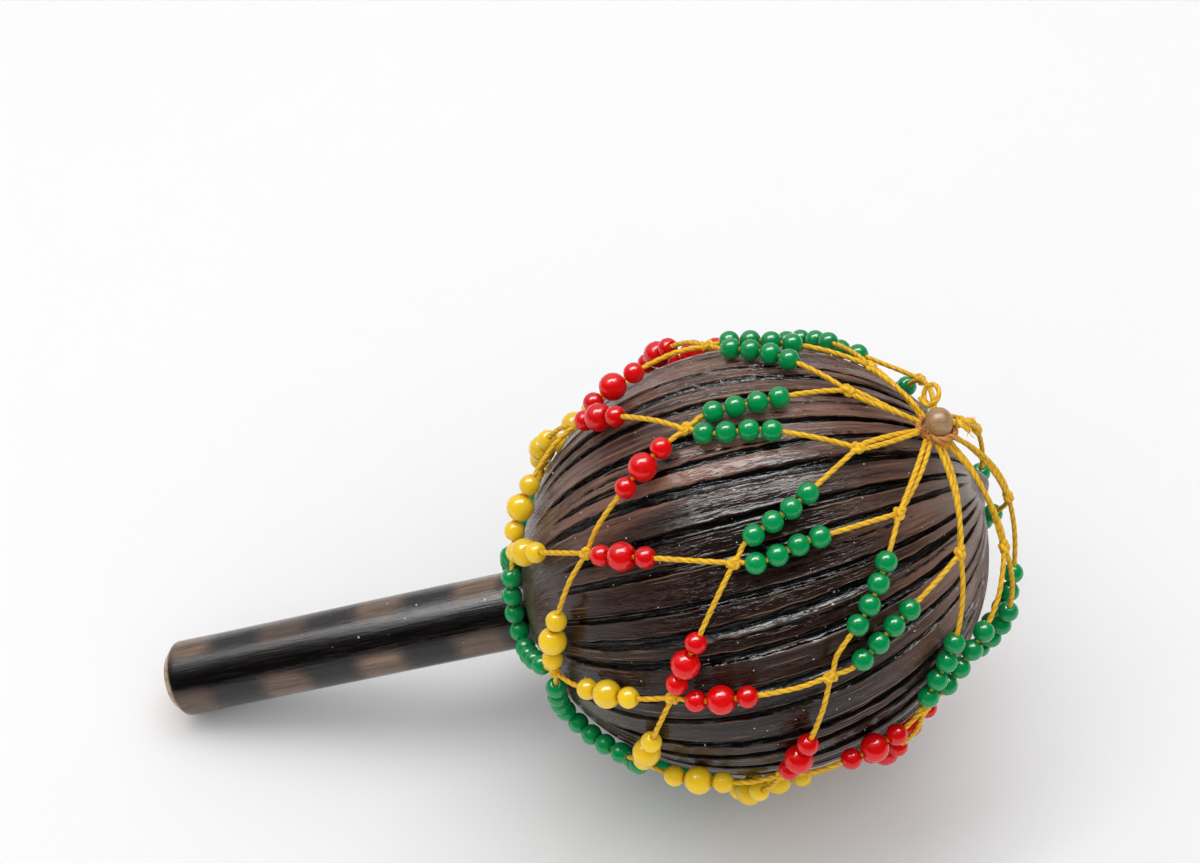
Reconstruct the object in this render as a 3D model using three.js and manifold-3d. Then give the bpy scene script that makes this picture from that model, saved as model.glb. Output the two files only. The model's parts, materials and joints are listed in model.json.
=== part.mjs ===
// Coconut-shell cabasa: a hollow carved shell on a round wooden handle, inside a loose net of beads.
// Millimetres, +Z up. It lies as it is put down: the butt of the handle and the lowest beads touch the table.
// Each piece is first made in the shell's own frame: centre of the shell at the origin, +X along the handle
// axis towards the apex, and +Z upwards. The last section lays the whole instrument down.
import * as THREE from "three";
import { mergeVertices } from "three/addons/utils/BufferGeometryUtils.js";
import Module from "manifold-3d";

const wasm = await Module();
wasm.setup();
const { degToRad, smoothstep } = THREE.MathUtils;

// Shell
const SHELL_RADIUS = 61; // across the handle axis
const SHELL_HALF_LENGTH = 67; // along the handle axis
const SHELL_WALL = 4;
const GROOVE_COUNT = 42;
const GROOVE_DEPTH = 1.4; // this and the next five are those of a middling groove
const GROOVE_WIDTH = 3.2; // at the widest part of the shell
const GROOVE_SWAY = 0.6; // how far a groove wanders to each side
const GROOVE_RUN_OUT = 14; // length over which it comes up to the surface
const PLAIN_APEX = 14; // smooth cap round the nub, measured along the surface
const PLAIN_COLLAR = 40; // smooth band at the neck, measured along the surface
const NUB_HEIGHT = 4;
const NUB_SPREAD = 5;
const NUB_ASIDE = 11.5; // degrees from the handle axis towards +Y, because the nut grew a little crooked
const NUB_DOWN = 3; // degrees below the handle axis

// Handle
const HANDLE_RADIUS = 11.5;
const HANDLE_REACH = 116; // from the neck of the shell to the butt
const HANDLE_TENON = 26; // from the neck into the shell
const BUTT_CHAMFER = 3;
const HANDLE_FIT = 0.3; // gap all round in the hole of the neck

// Net
const COLUMNS = 9;
const NET_TILT = 26.5; // degrees that the net has slipped up from the handle axis
const CROWN_SLIP = 6; // degrees that its slack crown has slipped further than the rest
const NET_TURN = 5; // degrees from straight down to the first crown cord
const FIRST_KNOTS = 26; // degrees from the net's axis to each ring of knots
const SECOND_KNOTS = 64.5;
const THIRD_KNOTS = 97;
const FOURTH_KNOTS = 127.5;
const SMALL_BEAD = 3; // radius
const LARGE_BEAD = 4; // radius
const GREEN_BEADS = 4; // on each string of the first row
const HEM_BEADS = 8; // on each scallop of the hem
const HEM_CORD = 2.5; // bare cord at each end of a scallop
const CORD_RADIUS = 0.75;
const CROWN_CORD_RADIUS = 1.3; // two cords side by side
const KNOT_RADIUS = 2;
const CONTACT_GAP = 0.3; // between pieces that touch
const SLIDE_SHARE = 0.3; // most of a hidden string's free length that its beads stand back from the lower knot
const PROP_LENGTH = 10; // length over which a large bead lifts its string
const TENT_FADE = 26; // degrees over which the net comes down again round the nub

// Crown of the net
const RING_RADIUS = 5.2; // of the cord ring that every crown cord is tied to
const RING_CORD_RADIUS = 1.5;
const POLE_BEAD_RADIUS = 4.2;
const POLE_BEAD_HALF_LENGTH = 3.8; // the bead is flattened at the two ends of its hole
const POLE_BEAD_BORE = 1.4;
const POLE_BEAD_LEAN = 50; // degrees that the bead has tipped downhill
const STEM_RADIUS = 1; // of the cord through the bead
const END_KNOT_RADIUS = 2.4;
const LOOP_RADIUS = 3;
const LOOP_TURN = 113; // degrees from downhill to the crown cord that the loop stands on

// Facets
const TUBE_SIDES = 5;
const SHELL_ROWS = 11;
const ROUND_SIDES = 32;

const NUB = new THREE.Vector3(1, Math.tan(degToRad(NUB_ASIDE)), -Math.tan(degToRad(NUB_DOWN))).normalize();
const NUB_OFF_AXIS = Math.acos(NUB.x);
const NUB_TURN_AXIS = new THREE.Vector3(1, 0, 0).cross(NUB).normalize();

const colours = {
  shell: { color: 0x3a211a, roughness: 0.25 },
  handle: { color: 0x2a1c14, roughness: 0.3 },
  wood_bead: { color: 0xb58a62, roughness: 0.5 },
  cord: { color: 0xd9a01c, roughness: 0.8 },
  green: { color: 0x008c50, roughness: 0.15 },
  red: { color: 0xdc1a1e, roughness: 0.15 },
  yellow: { color: 0xfacb22, roughness: 0.15 },
};

const cabasa = new THREE.Group();

function addPiece(name, geometry, finish) {
  const material = new THREE.MeshStandardMaterial({ ...colours[finish], metalness: 0 });
  const mesh = new THREE.Mesh(geometry, material);
  mesh.name = name;
  cabasa.add(mesh);
  return mesh;
}

// Joins and cuts work on solids with shared corners only.
function solidOf(geometry) {
  const bare = geometry.clone();
  bare.deleteAttribute("normal");
  bare.deleteAttribute("uv");
  const merged = mergeVertices(bare, 1e-4);
  const triVerts = new Uint32Array(merged.index.array);
  const vertProperties = merged.attributes.position.array;
  return new wasm.Manifold(new wasm.Mesh({ numProp: 3, vertProperties, triVerts }));
}

function geometryOf(solid) {
  const { vertProperties, triVerts } = solid.getMesh();
  return faceted(Array.from(vertProperties), Array.from(triVerts));
}

function faceted(positions, triangles) {
  const geometry = new THREE.BufferGeometry();
  geometry.setAttribute("position", new THREE.Float32BufferAttribute(positions, 3));
  geometry.setIndex(triangles);
  geometry.computeVertexNormals();
  return geometry;
}

// A closed skin of rings between two end points. Each ring has the same number of points, and seen from outside
// the first end they run anticlockwise.
function closedSkin(firstPoint, rings, lastPoint) {
  const sides = rings[0].length;
  const points = [firstPoint, ...rings.flat(), lastPoint];
  const last = points.length - 1;
  const triangles = [];
  for (let k = 0; k < sides; k++) {
    const next = (k + 1) % sides;
    triangles.push(0, 1 + k, 1 + next);
    for (let ring = 0; ring < rings.length - 1; ring++) {
      const here = 1 + ring * sides;
      const beyond = here + sides;
      triangles.push(here + k, beyond + next, here + next, here + k, beyond + k, beyond + next);
    }
    triangles.push(last, last - sides + next, last - sides + k);
  }
  return faceted(points.flatMap((p) => p.toArray()), triangles);
}

// Distance from the shell's centre to its plain surface, in a direction.
function shellReach(direction) {
  const across = Math.hypot(direction.y, direction.z);
  return 1 / Math.hypot(direction.x / SHELL_HALF_LENGTH, across / SHELL_RADIUS);
}

// Shell: the egg form with its nub, carved with grooves that run from the plain collar to the plain apex.
function nubRise(angleFromNub) {
  const distance = (angleFromNub * SHELL_HALF_LENGTH) / NUB_SPREAD;
  return NUB_HEIGHT * Math.exp(-distance * distance);
}

// Directions go round the handle axis, and in front they turn so that the foremost one meets the nub.
function shellPoint(angle, turn, depth) {
  const across = Math.sin(angle);
  const direction = new THREE.Vector3(Math.cos(angle), across * Math.cos(turn), across * Math.sin(turn));
  direction.applyAxisAngle(NUB_TURN_AXIS, NUB_OFF_AXIS * ((1 + Math.cos(angle)) / 2) ** 2);
  return direction.clone().multiplyScalar(shellReach(direction) + nubRise(direction.angleTo(NUB)) - depth);
}

// The grooves are cut by hand, so each is a little off the middling one, by -0.5 to 0.5.
function uneven(groove, step) {
  return ((groove * step) % 1) - 0.5;
}

function grooveAt(groove, angle) {
  const fromApex = angle * SHELL_RADIUS - PLAIN_APEX * (1 + 0.5 * uneven(groove, 0.33));
  const fromNeck = (Math.PI - angle) * SHELL_RADIUS - PLAIN_COLLAR * (1 + 0.3 * uneven(groove, 0.57));
  const cut = smoothstep(Math.min(fromApex, fromNeck), 0, GROOVE_RUN_OUT);
  const pitch = (2 * Math.PI) / GROOVE_COUNT;
  const sway = (GROOVE_SWAY / SHELL_RADIUS) * Math.sin(2 * angle + 2.4 * groove);
  const halfWidth = (GROOVE_WIDTH / 2 / SHELL_RADIUS) * (1 + 0.6 * uneven(groove, 0.755));
  return {
    turn: (groove + 0.5 * uneven(groove, 0.618)) * pitch + sway,
    halfWidth: halfWidth * (0.35 + 0.65 * cut),
    depth: GROOVE_DEPTH * (1 + 0.6 * uneven(groove, 0.27)) * cut,
  };
}

function carvedShell() {
  const angles = [0.5, 1, 1.9].map((spreads) => (spreads * NUB_SPREAD) / SHELL_HALF_LENGTH);
  const plainFrom = angles[angles.length - 1];
  for (let row = 1; row < SHELL_ROWS; row++) {
    angles.push(plainFrom + ((Math.PI - plainFrom) * row) / SHELL_ROWS);
  }
  const rings = angles.map((angle) => {
    const ring = [];
    for (let groove = 0; groove < GROOVE_COUNT; groove++) {
      const { turn, halfWidth, depth } = grooveAt(groove, angle);
      ring.push(shellPoint(angle, turn - halfWidth, 0));
      ring.push(shellPoint(angle, turn, depth));
      ring.push(shellPoint(angle, turn + halfWidth, 0));
    }
    return ring;
  });
  const outside = closedSkin(shellPoint(0, 0, 0), rings, shellPoint(Math.PI, 0, 0));
  const inside = new THREE.SphereGeometry(1, 20, 10);
  const innerRadius = SHELL_RADIUS - SHELL_WALL;
  inside.scale(innerRadius, SHELL_HALF_LENGTH - SHELL_WALL, innerRadius);
  inside.rotateZ(-Math.PI / 2);
  const holeRadius = HANDLE_RADIUS + HANDLE_FIT;
  const hole = new THREE.CylinderGeometry(holeRadius, holeRadius, SHELL_HALF_LENGTH, ROUND_SIDES);
  hole.rotateZ(-Math.PI / 2);
  hole.translate(-SHELL_HALF_LENGTH, 0, 0);
  return geometryOf(solidOf(outside).subtract(solidOf(inside)).subtract(solidOf(hole)));
}

// Handle: a dowel with a chamfered butt, let into the neck.
const NECK = -SHELL_HALF_LENGTH;
const BUTT = NECK - HANDLE_REACH;

function dowel() {
  const profile = [
    new THREE.Vector2(0, BUTT),
    new THREE.Vector2(HANDLE_RADIUS - BUTT_CHAMFER, BUTT),
    new THREE.Vector2(HANDLE_RADIUS, BUTT + BUTT_CHAMFER),
    new THREE.Vector2(HANDLE_RADIUS, NECK + HANDLE_TENON),
    new THREE.Vector2(0, NECK + HANDLE_TENON),
  ];
  const round = new THREE.LatheGeometry(profile, ROUND_SIDES);
  round.rotateZ(-Math.PI / 2);
  return geometryOf(solidOf(round));
}

// Net: places on it are given by their angle from its axis and their turn round that axis.
function onMidPlane(tilt) {
  return new THREE.Vector3(Math.cos(degToRad(tilt)), 0, Math.sin(degToRad(tilt)));
}

const NET_AXIS = onMidPlane(NET_TILT);
const DOWNHILL = onMidPlane(NET_TILT - 90);
const SIDEWAYS = new THREE.Vector3().crossVectors(NET_AXIS, DOWNHILL);
const COLUMN_STEP = 360 / COLUMNS;

function netDirection(fromAxis, turn) {
  const direction = NET_AXIS.clone().multiplyScalar(Math.cos(degToRad(fromAxis)));
  direction.addScaledVector(DOWNHILL, Math.sin(degToRad(fromAxis)) * Math.cos(degToRad(turn)));
  return direction.addScaledVector(SIDEWAYS, Math.sin(degToRad(fromAxis)) * Math.sin(degToRad(turn)));
}

const CROWN = onMidPlane(NET_TILT + CROWN_SLIP);

// The net turns round the handle axis, so near the apex it stands clear of the nub all the way round.
const TENT_EDGE = NUB_OFF_AXIS + (2.2 * NUB_SPREAD) / SHELL_HALF_LENGTH;

function overShell(direction, height) {
  const fromAxis = Math.acos(direction.x);
  const tent = NUB_HEIGHT * (1 - smoothstep(fromAxis, TENT_EDGE, TENT_EDGE + degToRad(TENT_FADE)));
  const point = direction.clone().multiplyScalar(shellReach(direction) + tent + height);
  const across = Math.hypot(point.y, point.z);
  const clearOfHandle = HANDLE_RADIUS + height;
  if (point.x < 0 && across < clearOfHandle) {
    point.y *= clearOfHandle / across;
    point.z *= clearOfHandle / across;
  }
  return point;
}

const NET_HEIGHT = SMALL_BEAD + CONTACT_GAP; // of a cord's middle over the shell, held off by its beads
const KNOT_SPACE = KNOT_RADIUS + CONTACT_GAP; // from the middle of a knot to a cord that is tied to it
const FIRST_BEAD = KNOT_SPACE + CONTACT_GAP + SMALL_BEAD; // to the middle of a bead that lies against the knot
const PUSH_FADE = 4 * FIRST_BEAD; // to where beads side by side no longer push their strings apart

// A closed tube through stations, each with its centre and radius. Its sides keep their place about the shell,
// and its corners stand out so far that each flat-sided section has the area of the round one.
const CORNER_SWELL = Math.sqrt((2 * Math.PI) / (TUBE_SIDES * Math.sin((2 * Math.PI) / TUBE_SIDES)));

function beadedTube(stations) {
  const along = new THREE.Vector3();
  const rings = stations.map(({ centre, radius }, i) => {
    const before = stations[Math.max(i - 1, 0)].centre;
    const after = stations[Math.min(i + 1, stations.length - 1)].centre;
    along.subVectors(after, before).normalize();
    const across = new THREE.Vector3().crossVectors(along, centre).normalize();
    const outward = new THREE.Vector3().crossVectors(across, along);
    const ring = [];
    for (let k = 0; k < TUBE_SIDES; k++) {
      const turn = (2 * Math.PI * k) / TUBE_SIDES + Math.PI / 2;
      const corner = radius * CORNER_SWELL;
      const point = centre.clone().addScaledVector(across, corner * Math.cos(turn));
      ring.push(point.addScaledVector(outward, corner * Math.sin(turn)));
    }
    return ring;
  });
  return closedSkin(stations[0].centre, rings, stations[stations.length - 1].centre);
}

// A curve over the shell from one direction to another. The large beads that it carries lift it in its middle, and
// the first beads of a vee push its two strings apart.
function stringCurve(from, to, lift, push) {
  const points = [];
  const steps = 14;
  const turnAxis = new THREE.Vector3().crossVectors(from, to).normalize();
  const angle = from.angleTo(to);
  const reach = shellReach(from) + NET_HEIGHT;
  for (let i = 0; i <= steps; i++) {
    const share = i / steps;
    const direction = from.clone().applyAxisAngle(turnAxis, angle * share);
    const distance = share * angle * reach;
    const pushed = smoothstep(distance, 0, FIRST_BEAD) - smoothstep(distance, FIRST_BEAD, PUSH_FADE);
    direction.addScaledVector(push, pushed / reach).normalize();
    const fromKnot = Math.min(share, 1 - share) * angle * reach;
    points.push(overShell(direction, NET_HEIGHT + lift * Math.min(1, fromKnot / PROP_LENGTH)));
  }
  return new THREE.CatmullRomCurve3(points);
}

// Sideways push on a string of a vee, so that the first beads of its two strings lie beside each other.
function pushOn(foot, head) {
  const aside = new THREE.Vector3().crossVectors(foot, NET_AXIS).normalize();
  const along = head.clone().addScaledVector(foot, -foot.dot(head)).normalize();
  const spread = along.dot(aside);
  const lacking = Math.max(0, SMALL_BEAD + CONTACT_GAP / 2 - FIRST_BEAD * Math.abs(spread));
  return aside.multiplyScalar(Math.sign(spread) * lacking);
}

function stationOn(curve, distance, radius) {
  return { centre: curve.getPointAt(distance / curve.getLength()), radius };
}

// The stations of a row of touching beads that starts at a distance along a curve.
function beadStations(curve, start, radii) {
  const stations = [stationOn(curve, start, CORD_RADIUS)];
  let place = start;
  for (const radius of radii) {
    stations.push(stationOn(curve, place + 0.5 * radius, 0.94 * radius));
    stations.push(stationOn(curve, place + 1.5 * radius, 0.94 * radius));
    stations.push(stationOn(curve, place + 2 * radius, CORD_RADIUS));
    place += 2 * radius;
  }
  return stations;
}

// How far the beads stand back from the knot below them on the left and the right string of each vee that the
// photograph shows, as a share of the free cord. On the others they stand at uneven distances.
const SEEN_SLIDES = {
  green_vee_4: [0.05, 0.22],
  green_vee_5: [0.18, 0],
  green_vee_6: [0.18, 0],
  green_vee_7: [0.55, 0.2],
  green_vee_8: [0, 0.16],
  green_vee_9: [0, 0.2],
  red_vee_5: [0.1, 0],
  red_vee_6: [0.82, 0],
  red_vee_7: [0, 0.06],
  red_vee_8: [0, 0.72],
  yellow_vee_5: [0.05, 0.12],
  yellow_vee_6: [0, 0.55],
  yellow_vee_7: [0.1, 0.27],
};

function slidesOf(name, count) {
  const hidden = [2 * count, 2 * count + 1].map((string) => SLIDE_SHARE * ((string * 0.618) % 1));
  return SEEN_SLIDES[name] ?? hidden;
}

// One string of a vee: up from its knot, past its beads, to the knot above.
function stringStations(foot, head, radii, slide) {
  const lift = Math.max(...radii) - SMALL_BEAD;
  const curve = stringCurve(foot, head, lift, pushOn(foot, head));
  const end = curve.getLength() - KNOT_SPACE;
  const beadLength = radii.reduce((sum, radius) => sum + 2 * radius, 0);
  const free = end - KNOT_SPACE - beadLength;
  const start = KNOT_SPACE + CONTACT_GAP + slide * free;
  const stations = beadStations(curve, start, radii);
  if (slide * free > KNOT_RADIUS) {
    stations.unshift(stationOn(curve, KNOT_SPACE, CORD_RADIUS));
  }
  const bare = start + beadLength;
  stations.push(stationOn(curve, (bare + end) / 2, CORD_RADIUS));
  stations.push(stationOn(curve, end, CORD_RADIUS));
  return stations;
}

// A vee: two strings that hang from neighbouring knots and are tied together at their foot.
function vee(footFromAxis, turn, headFromAxis, radii, slides) {
  const foot = netDirection(footFromAxis, turn);
  const left = netDirection(headFromAxis, turn - COLUMN_STEP / 2);
  const right = netDirection(headFromAxis, turn + COLUMN_STEP / 2);
  const knot = { centre: overShell(foot, NET_HEIGHT), radius: KNOT_RADIUS };
  const leftStations = stringStations(foot, left, radii, slides[0]).reverse();
  const rightStations = stringStations(foot, right, radii, slides[1]);
  return beadedTube([...leftStations, knot, ...rightStations]);
}

// A crown cord: doubled, from the crown ring to a knot of the first row.
function crownCord(turn) {
  const curve = stringCurve(CROWN, netDirection(FIRST_KNOTS, turn), 0, new THREE.Vector3());
  const length = curve.getLength();
  const start = RING_RADIUS + RING_CORD_RADIUS + CONTACT_GAP;
  const tie = length - KNOT_RADIUS;
  const stations = [stationOn(curve, start, CORD_RADIUS)];
  for (const share of [0.12, 0.4, 0.7, 0.96]) {
    stations.push(stationOn(curve, start + (tie - start) * share, CROWN_CORD_RADIUS));
  }
  stations.push(stationOn(curve, length - KNOT_RADIUS / 2, KNOT_RADIUS));
  const past = curve.getTangentAt(1).multiplyScalar(KNOT_RADIUS / 2);
  const knot = curve.getPointAt(1);
  stations.push({ centre: knot.clone().add(past), radius: 0.8 * KNOT_RADIUS });
  return beadedTube(stations);
}

// A scallop of the hem: slack between two knots of the last ring, as long as its beads need.
function scallopCurve(turn, sag) {
  const points = [];
  const steps = 16;
  for (let i = 0; i <= steps; i++) {
    const share = i / steps;
    const drop = sag * Math.sin(Math.PI * share) ** 1.15;
    points.push(overShell(netDirection(FOURTH_KNOTS + drop, turn + COLUMN_STEP * share), NET_HEIGHT));
  }
  return new THREE.CatmullRomCurve3(points);
}

function hemScallop(turn) {
  const radii = Array(HEM_BEADS).fill(SMALL_BEAD);
  const beadLength = 2 * SMALL_BEAD * HEM_BEADS;
  const wanted = beadLength + 2 * (KNOT_SPACE + HEM_CORD);
  let [least, most] = [0, 60];
  for (let halving = 0; halving < 24; halving++) {
    const middle = (least + most) / 2;
    if (scallopCurve(turn, middle).getLength() < wanted) {
      least = middle;
    } else {
      most = middle;
    }
  }
  const curve = scallopCurve(turn, most);
  const length = curve.getLength();
  const stations = beadStations(curve, (length - beadLength) / 2, radii);
  stations.unshift(stationOn(curve, KNOT_SPACE, CORD_RADIUS));
  stations.push(stationOn(curve, length - KNOT_SPACE, CORD_RADIUS));
  return beadedTube(stations);
}

// Crown: the cord ring that gathers the crown cords, the wooden bead seated in it, the cord with its end knot
// through the bead, and a small loop of cord.
const RING_MIDDLE = overShell(CROWN, NET_HEIGHT);
const SEAT_REACH = POLE_BEAD_RADIUS + CONTACT_GAP + RING_CORD_RADIUS;
const BEAD_RISE = Math.sqrt(SEAT_REACH ** 2 - RING_RADIUS ** 2);
const BEAD_MIDDLE = RING_MIDDLE.clone().addScaledVector(CROWN, BEAD_RISE);
const BEAD_AXIS = CROWN.clone().applyAxisAngle(SIDEWAYS, degToRad(POLE_BEAD_LEAN));

function turned(profile, middle, axis, sides) {
  const outline = profile.map(([radius, height]) => new THREE.Vector2(radius, height));
  const round = new THREE.LatheGeometry(outline, sides);
  round.applyQuaternion(new THREE.Quaternion().setFromUnitVectors(new THREE.Vector3(0, 1, 0), axis));
  round.translate(...middle.toArray());
  return geometryOf(solidOf(round));
}

function crownRing() {
  const profile = [];
  for (let k = 0; k <= 8; k++) {
    const turn = (2 * Math.PI * k) / 8;
    profile.push([RING_RADIUS + RING_CORD_RADIUS * Math.cos(turn), RING_CORD_RADIUS * Math.sin(turn)]);
  }
  return turned(profile, RING_MIDDLE, CROWN, 18);
}

function poleBead() {
  const half = POLE_BEAD_HALF_LENGTH;
  const belly = 0.95 * POLE_BEAD_RADIUS;
  const rim = 0.4 * POLE_BEAD_RADIUS;
  const profile = [
    [POLE_BEAD_BORE, -half],
    [rim, -half],
    [belly, -0.4 * half],
    [belly, 0.4 * half],
    [rim, half],
    [POLE_BEAD_BORE, half],
    [POLE_BEAD_BORE, -half],
  ];
  return turned(profile, BEAD_MIDDLE, BEAD_AXIS, 12);
}

function beadKnot() {
  const seat = POLE_BEAD_HALF_LENGTH + CONTACT_GAP;
  const profile = [
    [0, -POLE_BEAD_HALF_LENGTH],
    [STEM_RADIUS, -POLE_BEAD_HALF_LENGTH],
    [STEM_RADIUS, seat],
    [END_KNOT_RADIUS, seat + 0.3 * END_KNOT_RADIUS],
    [END_KNOT_RADIUS, seat + 1.1 * END_KNOT_RADIUS],
    [0, seat + 1.7 * END_KNOT_RADIUS],
  ];
  return turned(profile, BEAD_MIDDLE, BEAD_AXIS, 10);
}

function crownLoop() {
  const downhill = onMidPlane(NET_TILT + CROWN_SLIP - 90);
  const outward = downhill.applyAxisAngle(CROWN, degToRad(LOOP_TURN));
  const aside = POLE_BEAD_RADIUS + CONTACT_GAP + CORD_RADIUS * CORNER_SWELL + LOOP_RADIUS;
  const height = CROWN_CORD_RADIUS + CONTACT_GAP + LOOP_RADIUS;
  const middle = RING_MIDDLE.clone().addScaledVector(CROWN, height).addScaledVector(outward, aside);
  const open = degToRad(16);
  const steps = 12;
  const stations = [];
  for (let i = 0; i <= steps; i++) {
    const turn = open + ((2 * Math.PI - 2 * open) * i) / steps;
    const centre = middle.clone().addScaledVector(CROWN, -LOOP_RADIUS * Math.cos(turn));
    stations.push({ centre: centre.addScaledVector(outward, LOOP_RADIUS * Math.sin(turn)), radius: CORD_RADIUS });
  }
  return beadedTube(stations);
}

const shell = addPiece("shell", carvedShell(), "shell");
const handle = addPiece("handle", dowel(), "handle");
addPiece("crown_ring", crownRing(), "cord");
addPiece("pole_bead", poleBead(), "wood_bead");
addPiece("bead_knot", beadKnot(), "cord");
addPiece("crown_loop", crownLoop(), "cord");

const rows = [
  { name: "green_vee", finish: "green", above: FIRST_KNOTS, foot: SECOND_KNOTS, shift: 0.5 },
  { name: "red_vee", finish: "red", above: SECOND_KNOTS, foot: THIRD_KNOTS, shift: 0 },
  { name: "yellow_vee", finish: "yellow", above: THIRD_KNOTS, foot: FOURTH_KNOTS, shift: 0.5 },
];
for (let column = 0; column < COLUMNS; column++) {
  const number = column + 1;
  addPiece(`crown_cord_${number}`, crownCord(NET_TURN + COLUMN_STEP * column), "cord");
  rows.forEach(({ name, finish, above, foot, shift }, row) => {
    const radii = finish === "green" ? Array(GREEN_BEADS).fill(SMALL_BEAD) : [SMALL_BEAD, LARGE_BEAD, SMALL_BEAD];
    const turn = NET_TURN + COLUMN_STEP * (column + shift);
    const slides = slidesOf(`${name}_${number}`, row * COLUMNS + column);
    addPiece(`${name}_${number}`, vee(foot, turn, above, radii, slides), finish);
  });
  addPiece(`hem_scallop_${number}`, hemScallop(NET_TURN + COLUMN_STEP * (column + 0.5)), "green");
}

// Lay it down: lean it until the lowest bead and the butt are level, then stand the middle of its box on the origin.
function lowest(meshes, lean) {
  const point = new THREE.Vector3();
  let low = Infinity;
  for (const { geometry } of meshes) {
    const corners = geometry.attributes.position;
    for (let i = 0; i < corners.count; i++) {
      point.fromBufferAttribute(corners, i);
      low = Math.min(low, point.z * Math.cos(lean) + point.x * Math.sin(lean));
    }
  }
  return low;
}

const net = cabasa.children.filter((mesh) => mesh !== shell && mesh !== handle);
let [flat, steep] = [0, Math.PI / 3];
for (let halving = 0; halving < 30; halving++) {
  const lean = (flat + steep) / 2;
  if (lowest([handle], lean) > lowest(net, lean)) {
    flat = lean;
  } else {
    steep = lean;
  }
}
cabasa.rotation.y = -steep;
const box = new THREE.Box3().setFromObject(cabasa, true);
const middle = box.getCenter(new THREE.Vector3());
cabasa.position.set(-middle.x, -middle.y, -box.min.z);

const instrument = new THREE.Group();
instrument.add(cabasa);
export default instrument;
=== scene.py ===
"""Coconut-shell cabasa: the looks of a carved shell on a scorched handle, inside a tied net of beads.

Sizes are in metres, in the frame of the packed solids. Each piece is first made in the shell's own frame, with the
centre of the shell at the origin and +X along the handle towards the apex, and is then laid down on the floor.
"""

import json
import math

import bpy
import numpy as np
from bpy.props import FloatProperty, FloatVectorProperty, IntProperty, PointerProperty
from mathutils import Euler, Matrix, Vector


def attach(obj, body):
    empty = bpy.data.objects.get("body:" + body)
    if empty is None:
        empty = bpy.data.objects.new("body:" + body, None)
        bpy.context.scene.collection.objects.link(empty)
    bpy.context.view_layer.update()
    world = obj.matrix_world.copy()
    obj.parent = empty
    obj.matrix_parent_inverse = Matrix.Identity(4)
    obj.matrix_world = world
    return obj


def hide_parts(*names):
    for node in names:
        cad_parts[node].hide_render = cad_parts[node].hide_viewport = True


bl_info = {
    "name": "Coconut-shell cabasa",
    "version": (1, 0, 0),
    "blender": (4, 5, 0),
    "location": "3D View > Sidebar > Cabasa",
    "description": "Builds a carved coconut shell on a scorched handle, inside a tied net of beads",
    "category": "Add Mesh",
}

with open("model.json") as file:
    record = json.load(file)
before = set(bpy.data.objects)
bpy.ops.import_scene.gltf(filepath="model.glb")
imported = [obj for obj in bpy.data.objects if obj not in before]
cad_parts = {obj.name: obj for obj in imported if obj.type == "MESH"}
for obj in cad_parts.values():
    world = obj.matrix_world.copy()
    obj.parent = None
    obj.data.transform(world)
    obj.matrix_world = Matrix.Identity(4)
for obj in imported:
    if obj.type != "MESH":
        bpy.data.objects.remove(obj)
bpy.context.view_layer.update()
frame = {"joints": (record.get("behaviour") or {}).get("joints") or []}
FIXED_BODY = "shell_and_handle"
NET_BODY = "bead_net"

# The joint that the net turns on gives the centre of the shell and the handle axis.
NET_TURN = next(joint for joint in frame["joints"] if joint["child"] == NET_BODY)
SHELL_CENTRE = np.array(NET_TURN["pos_m"])
HANDLE_AXIS = np.array(NET_TURN["axis"]) / np.linalg.norm(NET_TURN["axis"])
ACROSS = np.array([0.0, 1.0, 0.0])
SHELL_FRAME = np.column_stack([HANDLE_AXIS, ACROSS, np.cross(HANDLE_AXIS, ACROSS)])


# Settings


def length(name, description, millimetres):
    """A size in metres, written in millimetres."""
    return FloatProperty(
        name=name, description=description, default=millimetres / 1000, min=0.0, precision=4, unit="LENGTH"
    )


def angle(name, description, degrees):
    """An angle in radians, written in degrees."""
    return FloatProperty(name=name, description=description, default=math.radians(degrees), subtype="ANGLE")


def count(name, description, number):
    """A whole number of pieces."""
    return IntProperty(name=name, description=description, default=number, min=1)


def share(name, description, value):
    """A part of a whole."""
    return FloatProperty(name=name, description=description, default=value, min=0.0, subtype="FACTOR")


def colour(name, description, *screen):
    """A colour in linear light, written as the three bytes that a screen shows."""
    parts = np.array(screen) / 255
    linear = np.where(parts > 0.04045, ((parts + 0.055) / 1.055) ** 2.4, parts / 12.92)
    return FloatVectorProperty(
        name=name, description=description, default=[float(part) for part in linear], min=0.0, max=1.0, subtype="COLOR"
    )


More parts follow.
